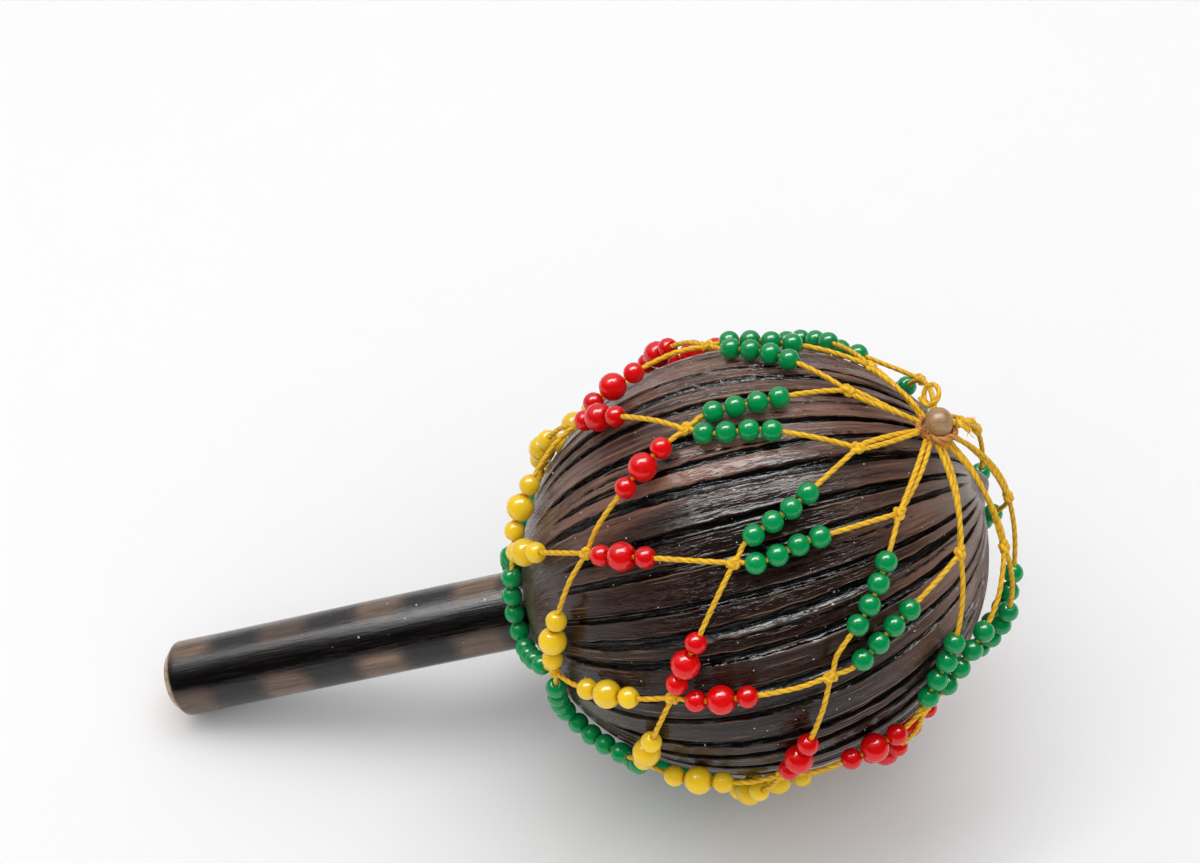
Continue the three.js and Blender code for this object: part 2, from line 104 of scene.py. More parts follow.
class ShellSettings(bpy.types.PropertyGroup):
    """The carved coconut shell."""

    radius: length("Radius", "Half of the width across the handle axis", 61)
    half_length: length("Half length", "Half of the length along the handle axis", 67)
    wall: length("Wall", "Thickness of the shell", 4)
    nub_height: length("Nub height", "How far the nub stands out at the apex", 4)
    nub_spread: length("Nub spread", "How wide the nub is", 5)
    nub_aside: angle("Nub aside", "How far the nub lies beside the handle axis", 11.5)
    nub_down: angle("Nub down", "How far the nub lies below the handle axis", 3)
    gouges: count("Gouges", "Long cuts from the collar to the apex", 42)
    gouge_width: length("Gouge width", "Width of a middling cut at the belly", 3.2)
    gouge_depth: length("Gouge depth", "Depth of a middling cut", 1.4)
    gouge_sway: length("Gouge sway", "How far a cut wanders to each side", 0.6)
    run_out: length("Run-out", "Length over which a cut comes up to the surface", 14)
    apex: length("Apex", "Smooth cap round the nub, along the surface", 14)
    collar: length("Collar", "Smooth band at the neck, along the surface", 40)
    fine_gouges: count("Fine gouges", "Short thin cuts on the ridges between the long ones", 90)
    ridge: colour("Ridge", "Lacquered shell between the cuts", 134, 97, 82)
    dark_ridge: colour("Dark ridge", "Dark streaks in the ridges", 52, 32, 26)
    groove: colour("Groove", "Stained floor of the cuts", 5, 4, 4)
    # Painted shade: this colour darkens the side of the shell that faces the front and the floor, where less light
    # falls.
    painted_side_shade: colour("Stain", "Darker lacquer on one side of the shell", 24, 11, 7)
    smooth_collar: colour("Smooth collar", "Paler shell round the neck", 88, 68, 58)
    dull_apex: colour("Dull apex", "Greyer lacquer round the apex", 134, 116, 107)
    # Partly real wear and partly painted highlight. It makes pale lines on the lips of the cuts, and painted glints in
    # streaks along the fibres.
    worn_edge_and_glint: colour("Worn edge", "Bare fibres on the edges of the cuts", 158, 126, 100)
    # Real dust and painted glints: pale specks that also stand in for sparkles on the lacquer.
    dust_and_glints: colour("Dust", "Specks on the lacquer", 205, 202, 198)


class HandleSettings(bpy.types.PropertyGroup):
    """The scorched wooden handle."""

    radius: length("Radius", "Half of the handle's thickness", 11.5)
    reach: length("Reach", "From the neck of the shell to the butt", 116)
    tenon: length("Tenon", "From the neck into the shell", 26)
    chamfer: length("Chamfer", "Bevel round the butt", 3)
    fit: length("Fit", "Gap round the handle in the hole of the neck", 0.3)
    patch_rows: count("Patch rows", "Rows of bare patches round the handle", 3)
    patch_turn: angle("Patch turn", "Turn of the first row from straight sideways", 67)
    patch_pitch: length("Patch pitch", "From one bare patch to the next", 31)
    patch_length: length("Patch length", "Length of a bare patch along the handle", 17)
    patch_width: length("Patch width", "Width of a bare patch round the handle", 15)
    scorched: colour("Scorched", "Charred wood under lacquer", 6, 5, 6)
    toasted: colour("Toasted", "Brown edge of a bare patch", 56, 42, 36)
    bare: colour("Bare wood", "Wood that the flame left out", 141, 114, 93)
    bare_dark: colour("Bare wood grain", "Dark grain of the bare wood", 90, 68, 52)
    butt: colour("Butt", "End grain of the butt", 190, 158, 120)


class NetSettings(bpy.types.PropertyGroup):
    """The net of cords and beads."""

    columns: count("Columns", "Meshes round the net", 9)
    tilt: angle("Tilt", "How far the net has slipped up from the handle axis", 26.5)
    crown_slip: angle("Crown slip", "How much further its slack crown has slipped", 6)
    turn: angle("Turn", "From straight down to the first crown cord", 5)
    first_knots: angle("First knots", "From the net's axis to the first ring of knots", 26)
    second_knots: angle("Second knots", "From the net's axis to the second ring of knots", 64.5)
    third_knots: angle("Third knots", "From the net's axis to the third ring of knots", 97)
    fourth_knots: angle("Fourth knots", "From the net's axis to the last ring of knots", 127.5)
    small_bead: length("Small bead", "Radius of a small bead", 3)
    large_bead: length("Large bead", "Radius of a large bead", 4)
    green_beads: count("Green beads", "Beads on each string of the first row", 4)
    hem_beads: count("Hem beads", "Beads on each scallop of the hem", 8)
    hem_cord: length("Hem cord", "Bare cord at each end of a scallop", 2.5)
    cord_radius: length("Cord radius", "Half of the cord's thickness", 0.77)
    twist_pitch: length("Twist pitch", "Length of cord in which its two plies go round once", 5.5)
    knot_radius: length("Knot radius", "Half of a knot's width", 2)
    contact_gap: length("Contact gap", "Between pieces that touch", 0.3)
    slide_share: share("Slide share", "Most of a string's free length that its beads stand back from the knot", 0.3)
    prop_length: length("Prop length", "Length over which a large bead lifts its string", 10)
    tent_fade: angle("Tent fade", "Angle over which the net comes down again round the nub", 26)
    green: colour("Green", "Green beads", 0, 150, 80)
    red: colour("Red", "Red beads", 230, 8, 12)
    yellow: colour("Yellow", "Yellow beads", 255, 211, 40)
    cord: colour("Cord", "Waxed cord", 250, 198, 12)
    cord_dark: colour("Cord shade", "Between the two plies of the cord", 212, 148, 4)


class CrownSettings(bpy.types.PropertyGroup):
    """The wooden bead and the cords at the crown of the net."""

    ring_radius: length("Ring radius", "Ring of cord that every crown cord is tied to", 5.2)
    ring_cord: length("Ring cord", "Half of the ring's thickness", 1.5)
    bead_radius: length("Bead radius", "Half of the wooden bead's width", 4.2)
    bead_half_length: length("Bead half length", "Half of the wooden bead's length along its hole", 3.8)
    bore: length("Bore", "Half of the width of the bead's hole", 1.4)
    lean: angle("Lean", "How far the bead has tipped downhill", 50)
    end_knot: length("End knot", "Half of the width of the knot at the bead's mouth", 2.4)
    loop_radius: length("Loop radius", "Half of the width of the small loop", 2.8)
    cord_pair: length("Cord pair", "Half of the width of a doubled cord", 1.3)
    loop_turn: angle("Loop turn", "From downhill to the crown cord that the loop stands on", 113)
    windings: count("Windings", "Turns of cord round the foot of the bead", 4)
    climb: angle("Climb", "How far the turns climb the bead's front", 46)
    dive: angle("Dive", "How far the turns go down behind the bead", 22)
    worn_cord: colour("Worn cord", "Browned cord of the ring", 214, 146, 62)
    # Painted shade between the plies, and real stains.
    worn_cord_shade_and_stain: colour("Worn cord, dark", "Its plies and stains", 150, 92, 36)
    wood: colour("Wood", "Turned wood of the bead", 180, 144, 104)
    wood_dark: colour("Wood grain", "Dark grain of the bead", 138, 102, 68)


class StageSettings(bpy.types.PropertyGroup):
    """The floor, the lights and the camera."""

    floor: colour("Floor", "Plain pale floor", 244, 244, 245)
    key_power: FloatProperty(name="Key light", description="Softbox above and behind", default=5.5, unit="POWER")
    sky: share("Sky", "Strength of the light from all round, which is brightest from above", 0.665)
    distance: length("Distance", "From the camera to the middle of the shell", 606.5)
    aside: angle("Aside", "How far the camera stands beside the shell", -6.5)
    above: angle("Above", "How far the camera stands above the shell", 50.4)
    look_down: angle("Look down", "How far the camera looks down", 47.1)
    lens: FloatProperty(name="Lens", description="Focal length", default=63.2, unit="CAMERA")


# Shapes


GOLDEN = 0.618  # whole multiples of it, less their whole part, are spread evenly and don't repeat


def unit(vectors):
    """Vectors of length one."""
    return vectors / np.linalg.norm(vectors, axis=-1, keepdims=True)


def smoothstep(value, low, high):
    """0 below low, 1 above high, and a smooth rise between them."""
    part = np.clip((value - low) / (high - low), 0.0, 1.0)
    return part * part * (3 - 2 * part)


def laid_down(points):
    """Points of the shell's own frame where the instrument lies on the floor."""
    return SHELL_CENTRE + np.asarray(points) @ SHELL_FRAME.T


def closed_skin(name, first, rings, last):
    """A closed mesh: a fan from the first point, bands between rings of corners, and a fan to the last point."""
    rows, sides, _ = rings.shape
    points = np.concatenate([[first], rings.reshape(-1, 3), [last]])
    here = 1 + np.arange(rows * sides).reshape(rows, sides)
    beside = np.roll(here, -1, axis=1)
    quads = np.stack([here[:-1], here[1:], beside[1:], beside[:-1]], axis=-1).reshape(-1, 4).tolist()
    start = np.stack([np.zeros(sides, int), here[0], beside[0]], axis=-1).tolist()
    end = np.stack([np.full(sides, len(points) - 1), beside[-1], here[-1]], axis=-1).tolist()
    mesh = bpy.data.meshes.new(name)
    mesh.from_pydata(laid_down(points).tolist(), [], start + quads + end)
    mesh.shade_smooth()
    return mesh


def note(mesh, name, values, kind="FLOAT"):
    """Keeps a value, or a vector, at each corner of a mesh for its material."""
    attribute = mesh.attributes.new(name, kind, "POINT")
    key = "vector" if kind == "FLOAT_VECTOR" else "value"
    attribute.data.foreach_set(key, np.asarray(values, np.float32).ravel())


def place(name, mesh, body, nodes):
    """Puts a finished mesh in the scene, on its body and instead of its solids."""
    piece = bpy.data.objects.new(name, mesh)
    bpy.context.scene.collection.objects.link(piece)
    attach(piece, body)
    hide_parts(*nodes)


class Path:
    """A line through points, measured along its length."""

    def __init__(self, points):
        self.points = np.asarray(points)
        steps = np.linalg.norm(np.diff(self.points, axis=0), axis=1)
        self.distances = np.concatenate([[0.0], np.cumsum(steps)])
        self.length = self.distances[-1]

    def at(self, distance):
        """The point, or points, at a distance along the line."""
        return np.stack([np.interp(distance, self.distances, part) for part in self.points.T], axis=-1)

    def along(self, distance):
        """The direction of the line at a distance along it."""
        step = 2e-4
        return unit(self.at(distance + step) - self.at(distance - step))


NUB_EDGE = 2.2  # where the nub has run out, in spreads from its middle
STRING_POINTS = 61
SCALLOP_POINTS = 65
SCALLOP_SAG = 1.15  # above 1, a scallop hangs a little pointed


class NetForm:
    """Where the net lies: over the shell, clear of its nub and of the handle."""

    def __init__(self, scene):
        self.shell = scene.cabasa_shell
        self.handle = scene.cabasa_handle
        self.net = scene.cabasa_net
        self.axis, self.downhill = on_mid_plane(self.net.tilt)
        self.crown, self.crown_downhill = on_mid_plane(self.net.tilt + self.net.crown_slip)
        self.sideways = np.cross(self.axis, self.downhill)
        self.height = self.net.small_bead + self.net.contact_gap
        self.knot_space = self.net.knot_radius + self.net.contact_gap
        self.first_bead = self.knot_space + self.net.contact_gap + self.net.small_bead
        self.push_fade = 4 * self.first_bead  # where beads side by side no longer push their strings apart
        self.column_step = 2 * math.pi / self.net.columns

    def direction(self, from_axis, turn):
        """Directions at an angle from the net's axis and a turn round it."""
        from_axis, turn = np.broadcast_arrays(from_axis, turn)
        down = np.sin(from_axis) * np.cos(turn)
        side = np.sin(from_axis) * np.sin(turn)
        parts = np.cos(from_axis)[..., None] * self.axis
        return parts + down[..., None] * self.downhill + side[..., None] * self.sideways

    def over_shell(self, directions, height):
        """Points at a height over the shell."""
        tent_edge = nub_off_axis(self.shell) + NUB_EDGE * self.shell.nub_spread / self.shell.half_length
        from_axis = np.arccos(np.clip(directions[..., 0], -1, 1))
        tent = self.shell.nub_height * (1 - smoothstep(from_axis, tent_edge, tent_edge + self.net.tent_fade))
        points = directions * (shell_reach(self.shell, directions) + tent + height)[..., None]
        across = np.hypot(points[..., 1], points[..., 2])
        clear = self.handle.radius + height
        outward = np.where((points[..., 0] < 0) & (across < clear), clear / across, 1.0)
        points[..., 1:] *= outward[..., None]
        return points

    def string(self, foot, head, lift, push):
        """The line of a string from its lower knot to its upper one, lifted and pushed aside by its beads."""
        angle_between = math.acos(float(foot @ head))
        part = np.linspace(0, 1, STRING_POINTS)[:, None]
        directions = np.sin((1 - part) * angle_between) * foot + np.sin(part * angle_between) * head
        reach = shell_reach(self.shell, foot) + self.height
        distance = part * angle_between * reach
        pushed = smoothstep(distance, 0, self.first_bead)
        pushed = pushed - smoothstep(distance, self.first_bead, self.push_fade)
        directions = unit(directions) + push * pushed / reach
        from_knot = np.minimum(distance, distance[-1] - distance)[:, 0]
        rise = lift * smoothstep(from_knot, 0, self.net.prop_length)
        return Path(self.over_shell(unit(directions), self.height + rise))

    def push_on(self, foot, head):
        """Sideways push on a string of a vee, so that the first beads of its two strings lie side by side."""
        aside = unit(np.cross(foot, self.axis))
        spread = unit(head - foot * (foot @ head)) @ aside
        lacking = max(0.0, self.net.small_bead + self.net.contact_gap / 2 - self.first_bead * abs(spread))
        return aside * math.copysign(lacking, spread)

    def scallop(self, turn, sag):
        """The line of a slack scallop between two knots of the last ring."""
        part = np.linspace(0, 1, SCALLOP_POINTS)
        drop = sag * np.sin(np.pi * part) ** SCALLOP_SAG
        directions = self.direction(self.net.fourth_knots + drop, turn + self.column_step * part)
        return Path(self.over_shell(directions, self.height))


def on_mid_plane(tilt):
    """The direction at a tilt up from the handle axis, and the direction downhill from there."""
    uphill = np.array([math.cos(tilt), 0.0, math.sin(tilt)])
    return uphill, np.array([uphill[2], 0.0, -uphill[0]])


def nub_direction(shell):
    """From the centre of the shell to the nub at its apex."""
    return unit(np.array([1.0, math.tan(shell.nub_aside), -math.tan(shell.nub_down)]))


def nub_off_axis(shell):
    """Angle from the handle axis to the nub."""
    return math.acos(nub_direction(shell)[0])


def shell_reach(shell, directions):
    """From the centre of the shell to its plain surface."""
    across = np.hypot(directions[..., 1], directions[..., 2])
    return 1 / np.hypot(directions[..., 0] / shell.half_length, across / shell.radius)


def turned_to_nub(shell, directions, front):
    """Directions round the handle axis, turned so that the foremost one meets the nub."""
    nub = nub_direction(shell)
    axis = unit(np.cross([1.0, 0.0, 0.0], nub))
    turn = (nub_off_axis(shell) * front)[..., None]
    kept = directions * np.cos(turn) + np.cross(axis, directions) * np.sin(turn)
    return kept + axis * (directions @ axis)[..., None] * (1 - np.cos(turn))


GOUGE_SEED = 7
FINE_WIDTHS = (0.0005, 0.0011)
FINE_DEPTHS = (0.0002, 0.0006)
FINE_STARTS = (0.08, 0.4)  # from the apex, in shares of the way to the neck
FINE_STOPS = (-0.004, 0.3)  # short of the collar, in shares of the same
FINE_SWAY = 0.012  # in radians
FINE_RUN_OUT = 0.02
NARROW_END = 0.35  # width of a long cut where it runs out, as a share of its full width
RAGGED_EDGE = 0.07  # how far its edges waver, as a share of its width


class Gouges:
    """The cuts in the shell: the long ones of the solid, and fine ones between them."""

    def __init__(self, shell):
        self.shell = shell
        self.numbers = np.arange(shell.gouges)
        random = np.random.default_rng(GOUGE_SEED)
        few = shell.fine_gouges
        girth = math.pi * shell.radius
        self.fine_turn = random.uniform(0, 2 * math.pi, few)
        self.fine_width = random.uniform(*FINE_WIDTHS, few)
        self.fine_depth = random.uniform(*FINE_DEPTHS, few)
        self.fine_from = random.uniform(*FINE_STARTS, few) * girth
        self.fine_to = girth - shell.collar - random.uniform(*FINE_STOPS, few) * girth
        self.fine_phase = random.uniform(0, 2 * math.pi, few)

    def uneven(self, step):
        """How far each long cut is off the middling one, from -0.5 to 0.5."""
        return (self.numbers * step) % 1 - 0.5

    def long_cuts(self, row):
        """Turn, half width, depth and share of full depth of each long cut, row by row, uneven as in the solid."""
        shell = self.shell
        apex = shell.apex * (1 + 0.5 * self.uneven(0.33))
        collar = shell.collar * (1 + 0.3 * self.uneven(0.57))
        inside = np.minimum(row * shell.radius - apex, (math.pi - row) * shell.radius - collar)
        cut = smoothstep(inside, 0, shell.run_out)
        sway = shell.gouge_sway / shell.radius * np.sin(2 * row + 2.4 * self.numbers)
        turn = (self.numbers + 0.5 * self.uneven(GOLDEN)) * 2 * math.pi / shell.gouges + sway
        half_width = shell.gouge_width / 2 / shell.radius * (1 + 0.6 * self.uneven(0.755))
        half_width = half_width * (NARROW_END + (1 - NARROW_END) * cut)
        ragged = np.sin(31 * row + 1.7 * self.numbers) + np.sin(53 * row + 2.9 * self.numbers)
        half_width = half_width * (1 + RAGGED_EDGE * ragged)
        return turn, half_width, shell.gouge_depth * (1 + 0.6 * self.uneven(0.27)) * cut, cut

    def fine_cuts(self, row, turns):
        """Depth of the fine cuts."""
        depth = np.zeros_like(turns)
        arc = row * self.shell.radius
        for k in range(self.shell.fine_gouges):
            middle = self.fine_turn[k] + FINE_SWAY * np.sin(3 * row + self.fine_phase[k])
            off = (turns - middle + math.pi) % (2 * math.pi) - math.pi
            taper = smoothstep(arc, self.fine_from[k], self.fine_from[k] + FINE_RUN_OUT)
            taper = taper * smoothstep(-arc, -self.fine_to[k], FINE_RUN_OUT - self.fine_to[k])
            across = np.abs(off) * self.shell.radius * np.sin(row) / self.fine_width[k]
            depth = np.maximum(depth, self.fine_depth[k] * taper * np.clip(1 - across, 0, 1))
        return depth


HOLLOW_SEED = 11
HOLLOW_WAVES = (9, 17, 31, 47, 71, 97)  # hollows round the shell
HOLLOW_DRIFT = 2.5  # most that they slant


def ridge_unevenness(row, turns):
    """Long shallow hollows along the ridges, from 0 to 1."""
    random = np.random.default_rng(HOLLOW_SEED)
    total = np.zeros_like(turns)
    for waves in HOLLOW_WAVES:
        drift = random.uniform(-HOLLOW_DRIFT, HOLLOW_DRIFT)
        total += np.sin(waves * turns + drift * row + random.uniform(0, 2 * math.pi)) / len(HOLLOW_WAVES)
    return 0.5 + 0.5 * total


# Places across a long cut, where 1 is its edge. The ridge between two cuts is divided evenly.
ACROSS_CUT = np.array([-1.3, -1.08, -0.99, -0.86, -0.5, 0, 0.5, 0.86, 0.99, 1.08, 1.3])
ON_RIDGE = np.arange(1, 9) / 9
EDGE_ROUNDING = 0.05
CUT_SHAPE = 2.2  # 2 is a round floor, and more is flatter
LIP_PLACE = 1.1  # middle of the raised lip beside a cut
LIP_SPREAD = 0.1
LIP_RISE = 0.00018
HOLLOW_DEPTH = 0.00028
PLAIN_NECK = (0.02, 0.05)  # along the surface from the neck, to where the hollows are at full depth
PLAIN_TIP = (0.08, 0.25)  # the same from the apex, in radians


def carved_surface(shell, from_apex):
    """Turns, depths and lips at the corners of each row of the shell, which follow the long cuts."""
    row = from_apex[:, None]
    gouges = Gouges(shell)
    turn, half_width, full_depth, cut = (part[:, :, None] for part in gouges.long_cuts(row))
    edge = np.abs(ACROSS_CUT)
    in_cut = turn + half_width * ACROSS_CUT
    inside = 1 - edge**CUT_SHAPE
    cut_depth = full_depth * (inside + np.hypot(inside, EDGE_ROUNDING)) / 2
    lip = np.sqrt(cut) * np.exp(-(((edge - LIP_PLACE) / LIP_SPREAD) ** 2))
    start = in_cut[:, :, -1:]
    end = np.roll(in_cut[:, :, :1], -1, axis=1)
    end[:, -1] += 2 * math.pi
    ridge = start + (end - start) * ON_RIDGE
    flat = np.zeros_like(ridge)
    rows = len(from_apex)
    turns = np.concatenate([in_cut, ridge], axis=2).reshape(rows, -1)
    depth = np.concatenate([cut_depth, flat], axis=2).reshape(rows, -1)
    lip = np.concatenate([lip, flat], axis=2).reshape(rows, -1)
    fade = smoothstep((math.pi - row) * shell.radius, *PLAIN_NECK) * smoothstep(row, *PLAIN_TIP)
    hollows = HOLLOW_DEPTH * ridge_unevenness(row, turns) * fade
    depth = np.maximum(depth, gouges.fine_cuts(row, turns)) + hollows - LIP_RISE * lip
    return turns, depth, lip


# Bands of rows from the apex to the neck, with their first angle and their number: the cap, the belly, where the
# cuts run out, and the plain collar.
ROW_BANDS = ((0.02, 12), (0.36, 66), (2.2, 30), (2.72, 6))
COLLAR_EDGE = (0.024, 0.058)  # along the surface from the neck
BORE_EDGE = 0.0003
INNER_ROWS = 6


def shell_mesh(shell, handle):
    """The shell with its nub, its cuts, its hole for the handle and its inner wall."""
    hole = handle.radius + handle.fit
    hole_edge = math.pi - math.asin(hole / shell.half_length)
    ends = [start for start, _ in ROW_BANDS[1:]] + [hole_edge]
    bands = [np.linspace(start, end, rows, endpoint=False) for (start, rows), end in zip(ROW_BANDS, ends)]
    from_apex = np.append(np.concatenate(bands), hole_edge)
    turn, depth, lip = carved_surface(shell, from_apex)

    row = np.broadcast_to(from_apex[:, None], turn.shape)
    straight = np.stack([np.cos(row), np.sin(row) * np.cos(turn), np.sin(row) * np.sin(turn)], axis=-1)
    directions = turned_to_nub(shell, straight, ((1 + np.cos(row)) / 2) ** 2)
    from_nub = np.arccos(np.clip(directions @ nub_direction(shell), -1, 1))
    nub = shell.nub_height * np.exp(-((from_nub * shell.half_length / shell.nub_spread) ** 2))
    outside = directions * (shell_reach(shell, directions) + nub - depth)[..., None]

    # The hole's edge, its wall, and then the inside of the shell back to the apex.
    around = np.stack([np.zeros_like(turn[-1]), np.cos(turn[-1]), np.sin(turn[-1])], axis=-1)
    neck = -math.sqrt(1 - (hole / shell.radius) ** 2) * shell.half_length
    bore = [around * hole + np.array([neck + inward, 0, 0]) for inward in (BORE_EDGE, shell.wall)]
    inner = []
    for inner_row in np.linspace(hole_edge - 0.1, 0.25, INNER_ROWS):
        middle = np.array([math.cos(inner_row) * (shell.half_length - shell.wall), 0, 0])
        inner.append(around * math.sin(inner_row) * (shell.radius - shell.wall) + middle)
    rings = np.concatenate([outside, bore, inner])
    tip = nub_direction(shell)
    tip = tip * (shell_reach(shell, tip) + shell.nub_height)
    mesh = closed_skin("carved_shell", tip, rings, np.array([shell.half_length - shell.wall, 0, 0]))

    hidden = (len(bore) + len(inner)) * turn.shape[1]

    def everywhere(values, inside=0):
        return np.concatenate([[0], values.ravel(), np.full(hidden + 1, inside)])

    note(mesh, "carve", everywhere(depth / shell.gouge_depth, 1))
    note(mesh, "lip", everywhere(lip))
    note(mesh, "collar", everywhere(1 - smoothstep((math.pi - row) * shell.radius, *COLLAR_EDGE)))
    round_turn = everywhere(turn)
    arc = everywhere(row * shell.radius)
    fibre = np.stack([shell.radius * np.cos(round_turn), shell.radius * np.sin(round_turn), arc], axis=-1)
    note(mesh, "fibre", fibre, "FLOAT_VECTOR")
    return mesh


HANDLE_SIDES = 96
SHAFT_ROWS = 84
TENON_ROUNDING = 0.0005
TRUE_BUTT = (0.004, 0.02)  # from the butt to where the shaft is at its most uneven
SHAFT_WOBBLE = 0.00006
MOST_WOBBLE = 2.1  # sum of the three waves of the wobble, so that the shaft is never thicker than the solid


def handle_mesh(handle, shell):
    """The dowel: a chamfered butt, a slightly uneven shaft and the tenon inside the shell."""
    turns = np.arange(HANDLE_SIDES) * 2 * math.pi / HANDLE_SIDES
    butt = -shell.half_length - handle.reach
    tenon = -shell.half_length + handle.tenon
    rim = handle.radius - handle.chamfer
    profile = [(butt, rim * part) for part in (0.3, 0.6, 0.9, 0.985)]
    for part in (0.05, 0.35, 0.65, 0.95):
        profile.append((butt + handle.chamfer * part, rim + handle.chamfer * part))
    start = butt + handle.chamfer * 1.1
    profile += [(x, handle.radius) for x in np.linspace(start, tenon - TENON_ROUNDING, SHAFT_ROWS)]
    profile += [(tenon, handle.radius - TENON_ROUNDING), (tenon, handle.radius / 2)]
    along, radius = np.array(profile).T[:, :, None]
    turn = np.broadcast_to(turns, (len(profile), HANDLE_SIDES))
    shaft = smoothstep(along - butt, *TRUE_BUTT)
    wobble = np.sin(2 * turn + along * 31) + 0.6 * np.sin(5 * turn - along * 57)
    wobble = wobble + 0.5 * np.sin(9 * turn + along * 83)
    radius = radius - SHAFT_WOBBLE * (MOST_WOBBLE + wobble) * shaft
    rings = np.stack([np.broadcast_to(along, turn.shape), radius * np.cos(turn), radius * np.sin(turn)], axis=-1)
    first = np.array([butt, 0, 0])
    last = np.array([tenon, 0, 0])
    mesh = closed_skin("scorched_handle", first, rings, last)
    points = np.concatenate([[first], rings.reshape(-1, 3), [last]])
    note(mesh, "grain", points, "FLOAT_VECTOR")
    level, soot = bare_patches(handle, points, butt)
    note(mesh, "patch", level)
    note(mesh, "soot", soot)
    end = smoothstep(-points[:, 0], -(butt + handle.chamfer * 0.98), -(butt + handle.chamfer * 0.9))
    note(mesh, "end", end)
    return mesh


FIRST_PATCH = 0.3  # from the butt to the middle of the first patch, as a share of the pitch
ROW_SHIFT = 0.06  # how much closer to the butt each further row starts
PATCH_CORNERS = 4  # 2 is an oval, and more is squarer
FIRST_SOOT = 0.37
FAR_OUTSIDE = -2.0


def bare_patches(handle, points, butt):
    """How far a point lies inside a bare patch, from 1 in its middle to 0 at its edge, and how sooty that patch is."""
    turn = np.arctan2(points[:, 2], points[:, 1])
    along = points[:, 0] - butt
    level = np.full(len(points), FAR_OUTSIDE)
    soot = np.zeros(len(points))
    for row in range(handle.patch_rows):
        middle = handle.patch_turn + 2 * math.pi * row / handle.patch_rows
        off = (turn - middle + math.pi) % (2 * math.pi) - math.pi
        shift = handle.patch_pitch * (FIRST_PATCH - ROW_SHIFT * row)
        number = np.round((along - shift) / handle.patch_pitch)
        lengthwise = np.abs(along - shift - number * handle.patch_pitch) / (handle.patch_length / 2)
        round_about = np.abs(off) * handle.radius / (handle.patch_width / 2)
        inside = 1 - (lengthwise**PATCH_CORNERS + round_about**PATCH_CORNERS) ** (1 / PATCH_CORNERS)
        soot = np.where(inside > level, (FIRST_SOOT + GOLDEN * (number + 4 * row)) % 1, soot)
        level = np.maximum(level, inside)
    return level, soot


BEAD_SIDES = 48
BEAD_ROWS = 23
BEAD_SHAPE = 2.4  # 2 is a ball, and more is closer to a drum
BEAD_UNEVENNESS = 0.012


def turned_bead_mesh(crown, middle, axis):
    """The wooden bead: round, flattened at the two dimpled ends of its hole."""
    turn = np.arange(BEAD_SIDES)[None, :] * 2 * math.pi / BEAD_SIDES
    half = crown.bead_half_length
    profile = [(-half * 0.55, crown.bore * 0.9), (-half * 0.93, crown.bore)]
    for part in np.linspace(-0.97, 0.97, BEAD_ROWS):
        bulge = crown.bead_radius * (1 - abs(part) ** BEAD_SHAPE) ** 0.5
        profile.append((half * part, max(bulge, crown.bore * 1.08)))
    profile += [(half * 0.93, crown.bore), (half * 0.55, crown.bore * 0.9)]
    along, radius = np.array(profile).T[:, :, None]
    side, beside = axes_across(axis)
    radius = radius * (1 + BEAD_UNEVENNESS * np.sin(3 * turn + along * 700))
    rings = middle + along[..., None] * axis
    rings = rings + (radius * np.cos(turn))[..., None] * side + (radius * np.sin(turn))[..., None] * beside
    ends = [middle + axis * half * place_on for place_on in (-0.5, 0.5)]
    return closed_skin("wooden_bead", ends[0], rings, ends[1])


def axes_across(axis):
    """Two directions across an axis, which turn from the first to the second round it."""
    helper = np.array([0.0, 0.0, 1.0]) if abs(axis[2]) < 0.9 else np.array([0.0, 1.0, 0.0])
    side = unit(np.cross(helper, axis))
    return side, np.cross(axis, side)


class Skeleton:
    """Lines of cord and places of beads, which the strung-net nodes turn into a piece."""

    def __init__(self):
        self.points = []
        self.edges = []
        self.bead_radius = []
        self.bead_axis = []
        self.thickness = []

    def add_point(self, point, axis, radius, thickness):
        """A place of a bead, or of a cord where the radius is 0."""
        self.points.append(point)
        self.bead_axis.append(axis)
        self.bead_radius.append(radius)
        self.thickness.append(thickness)

    def add_cord(self, points, thickness=1.0):
        """A cord through points, thinner than the net's cord where thickness is below 1."""
        first = len(self.points)
        for k, point in enumerate(points):
            self.add_point(point, (0.0, 0.0, 1.0), 0.0, thickness)
            if k:
                self.edges.append((first + k - 1, first + k))

    def add_bead(self, point, axis, radius):
        """A bead with its hole along an axis."""
        self.add_point(point, axis, radius, 1.0)

    def mesh(self, name):
        """The lines and places as a mesh of edges and loose points."""
        mesh = bpy.data.meshes.new(name)
        mesh.from_pydata(laid_down(self.points).tolist(), self.edges, [])
        note(mesh, "bead_radius", self.bead_radius)
        note(mesh, "bead_axis", np.array(self.bead_axis) @ SHELL_FRAME.T, "FLOAT_VECTOR")
        note(mesh, "thickness", self.thickness)
        return mesh


KNOT_SWELL = 1.25  # cords that are tied together look thicker than one
KNOT_LENGTH, KNOT_WIDTH, KNOT_HEIGHT = 1.25, 0.85, 1.6  # how a tight knot is drawn out of the even one
KNOT_POINTS = 44
KNOT_OPENING = 0.1  # turn that is left open at each end of the knot
CORD_POINTS = 48
HEM_CORD_POINTS = 56
MOST_SAG = math.radians(60)
SAG_TRIES = 24


def tight_knot(net, middle, outward, along):
    """The line of an overhand knot pulled tight, lying flat on what is under it."""
    turn = np.linspace(KNOT_OPENING, 2 * math.pi - KNOT_OPENING, KNOT_POINTS)[:, None]
    across = np.cross(outward, along)
    size = (net.knot_radius - net.cord_radius) / 3
    lengthwise = KNOT_LENGTH * (np.sin(turn) + 2 * np.sin(2 * turn)) * along
    sideways = KNOT_WIDTH * (np.cos(turn) - 2 * np.cos(2 * turn)) * across
    return middle + size * (lengthwise + sideways - KNOT_HEIGHT * np.sin(3 * turn) * outward)


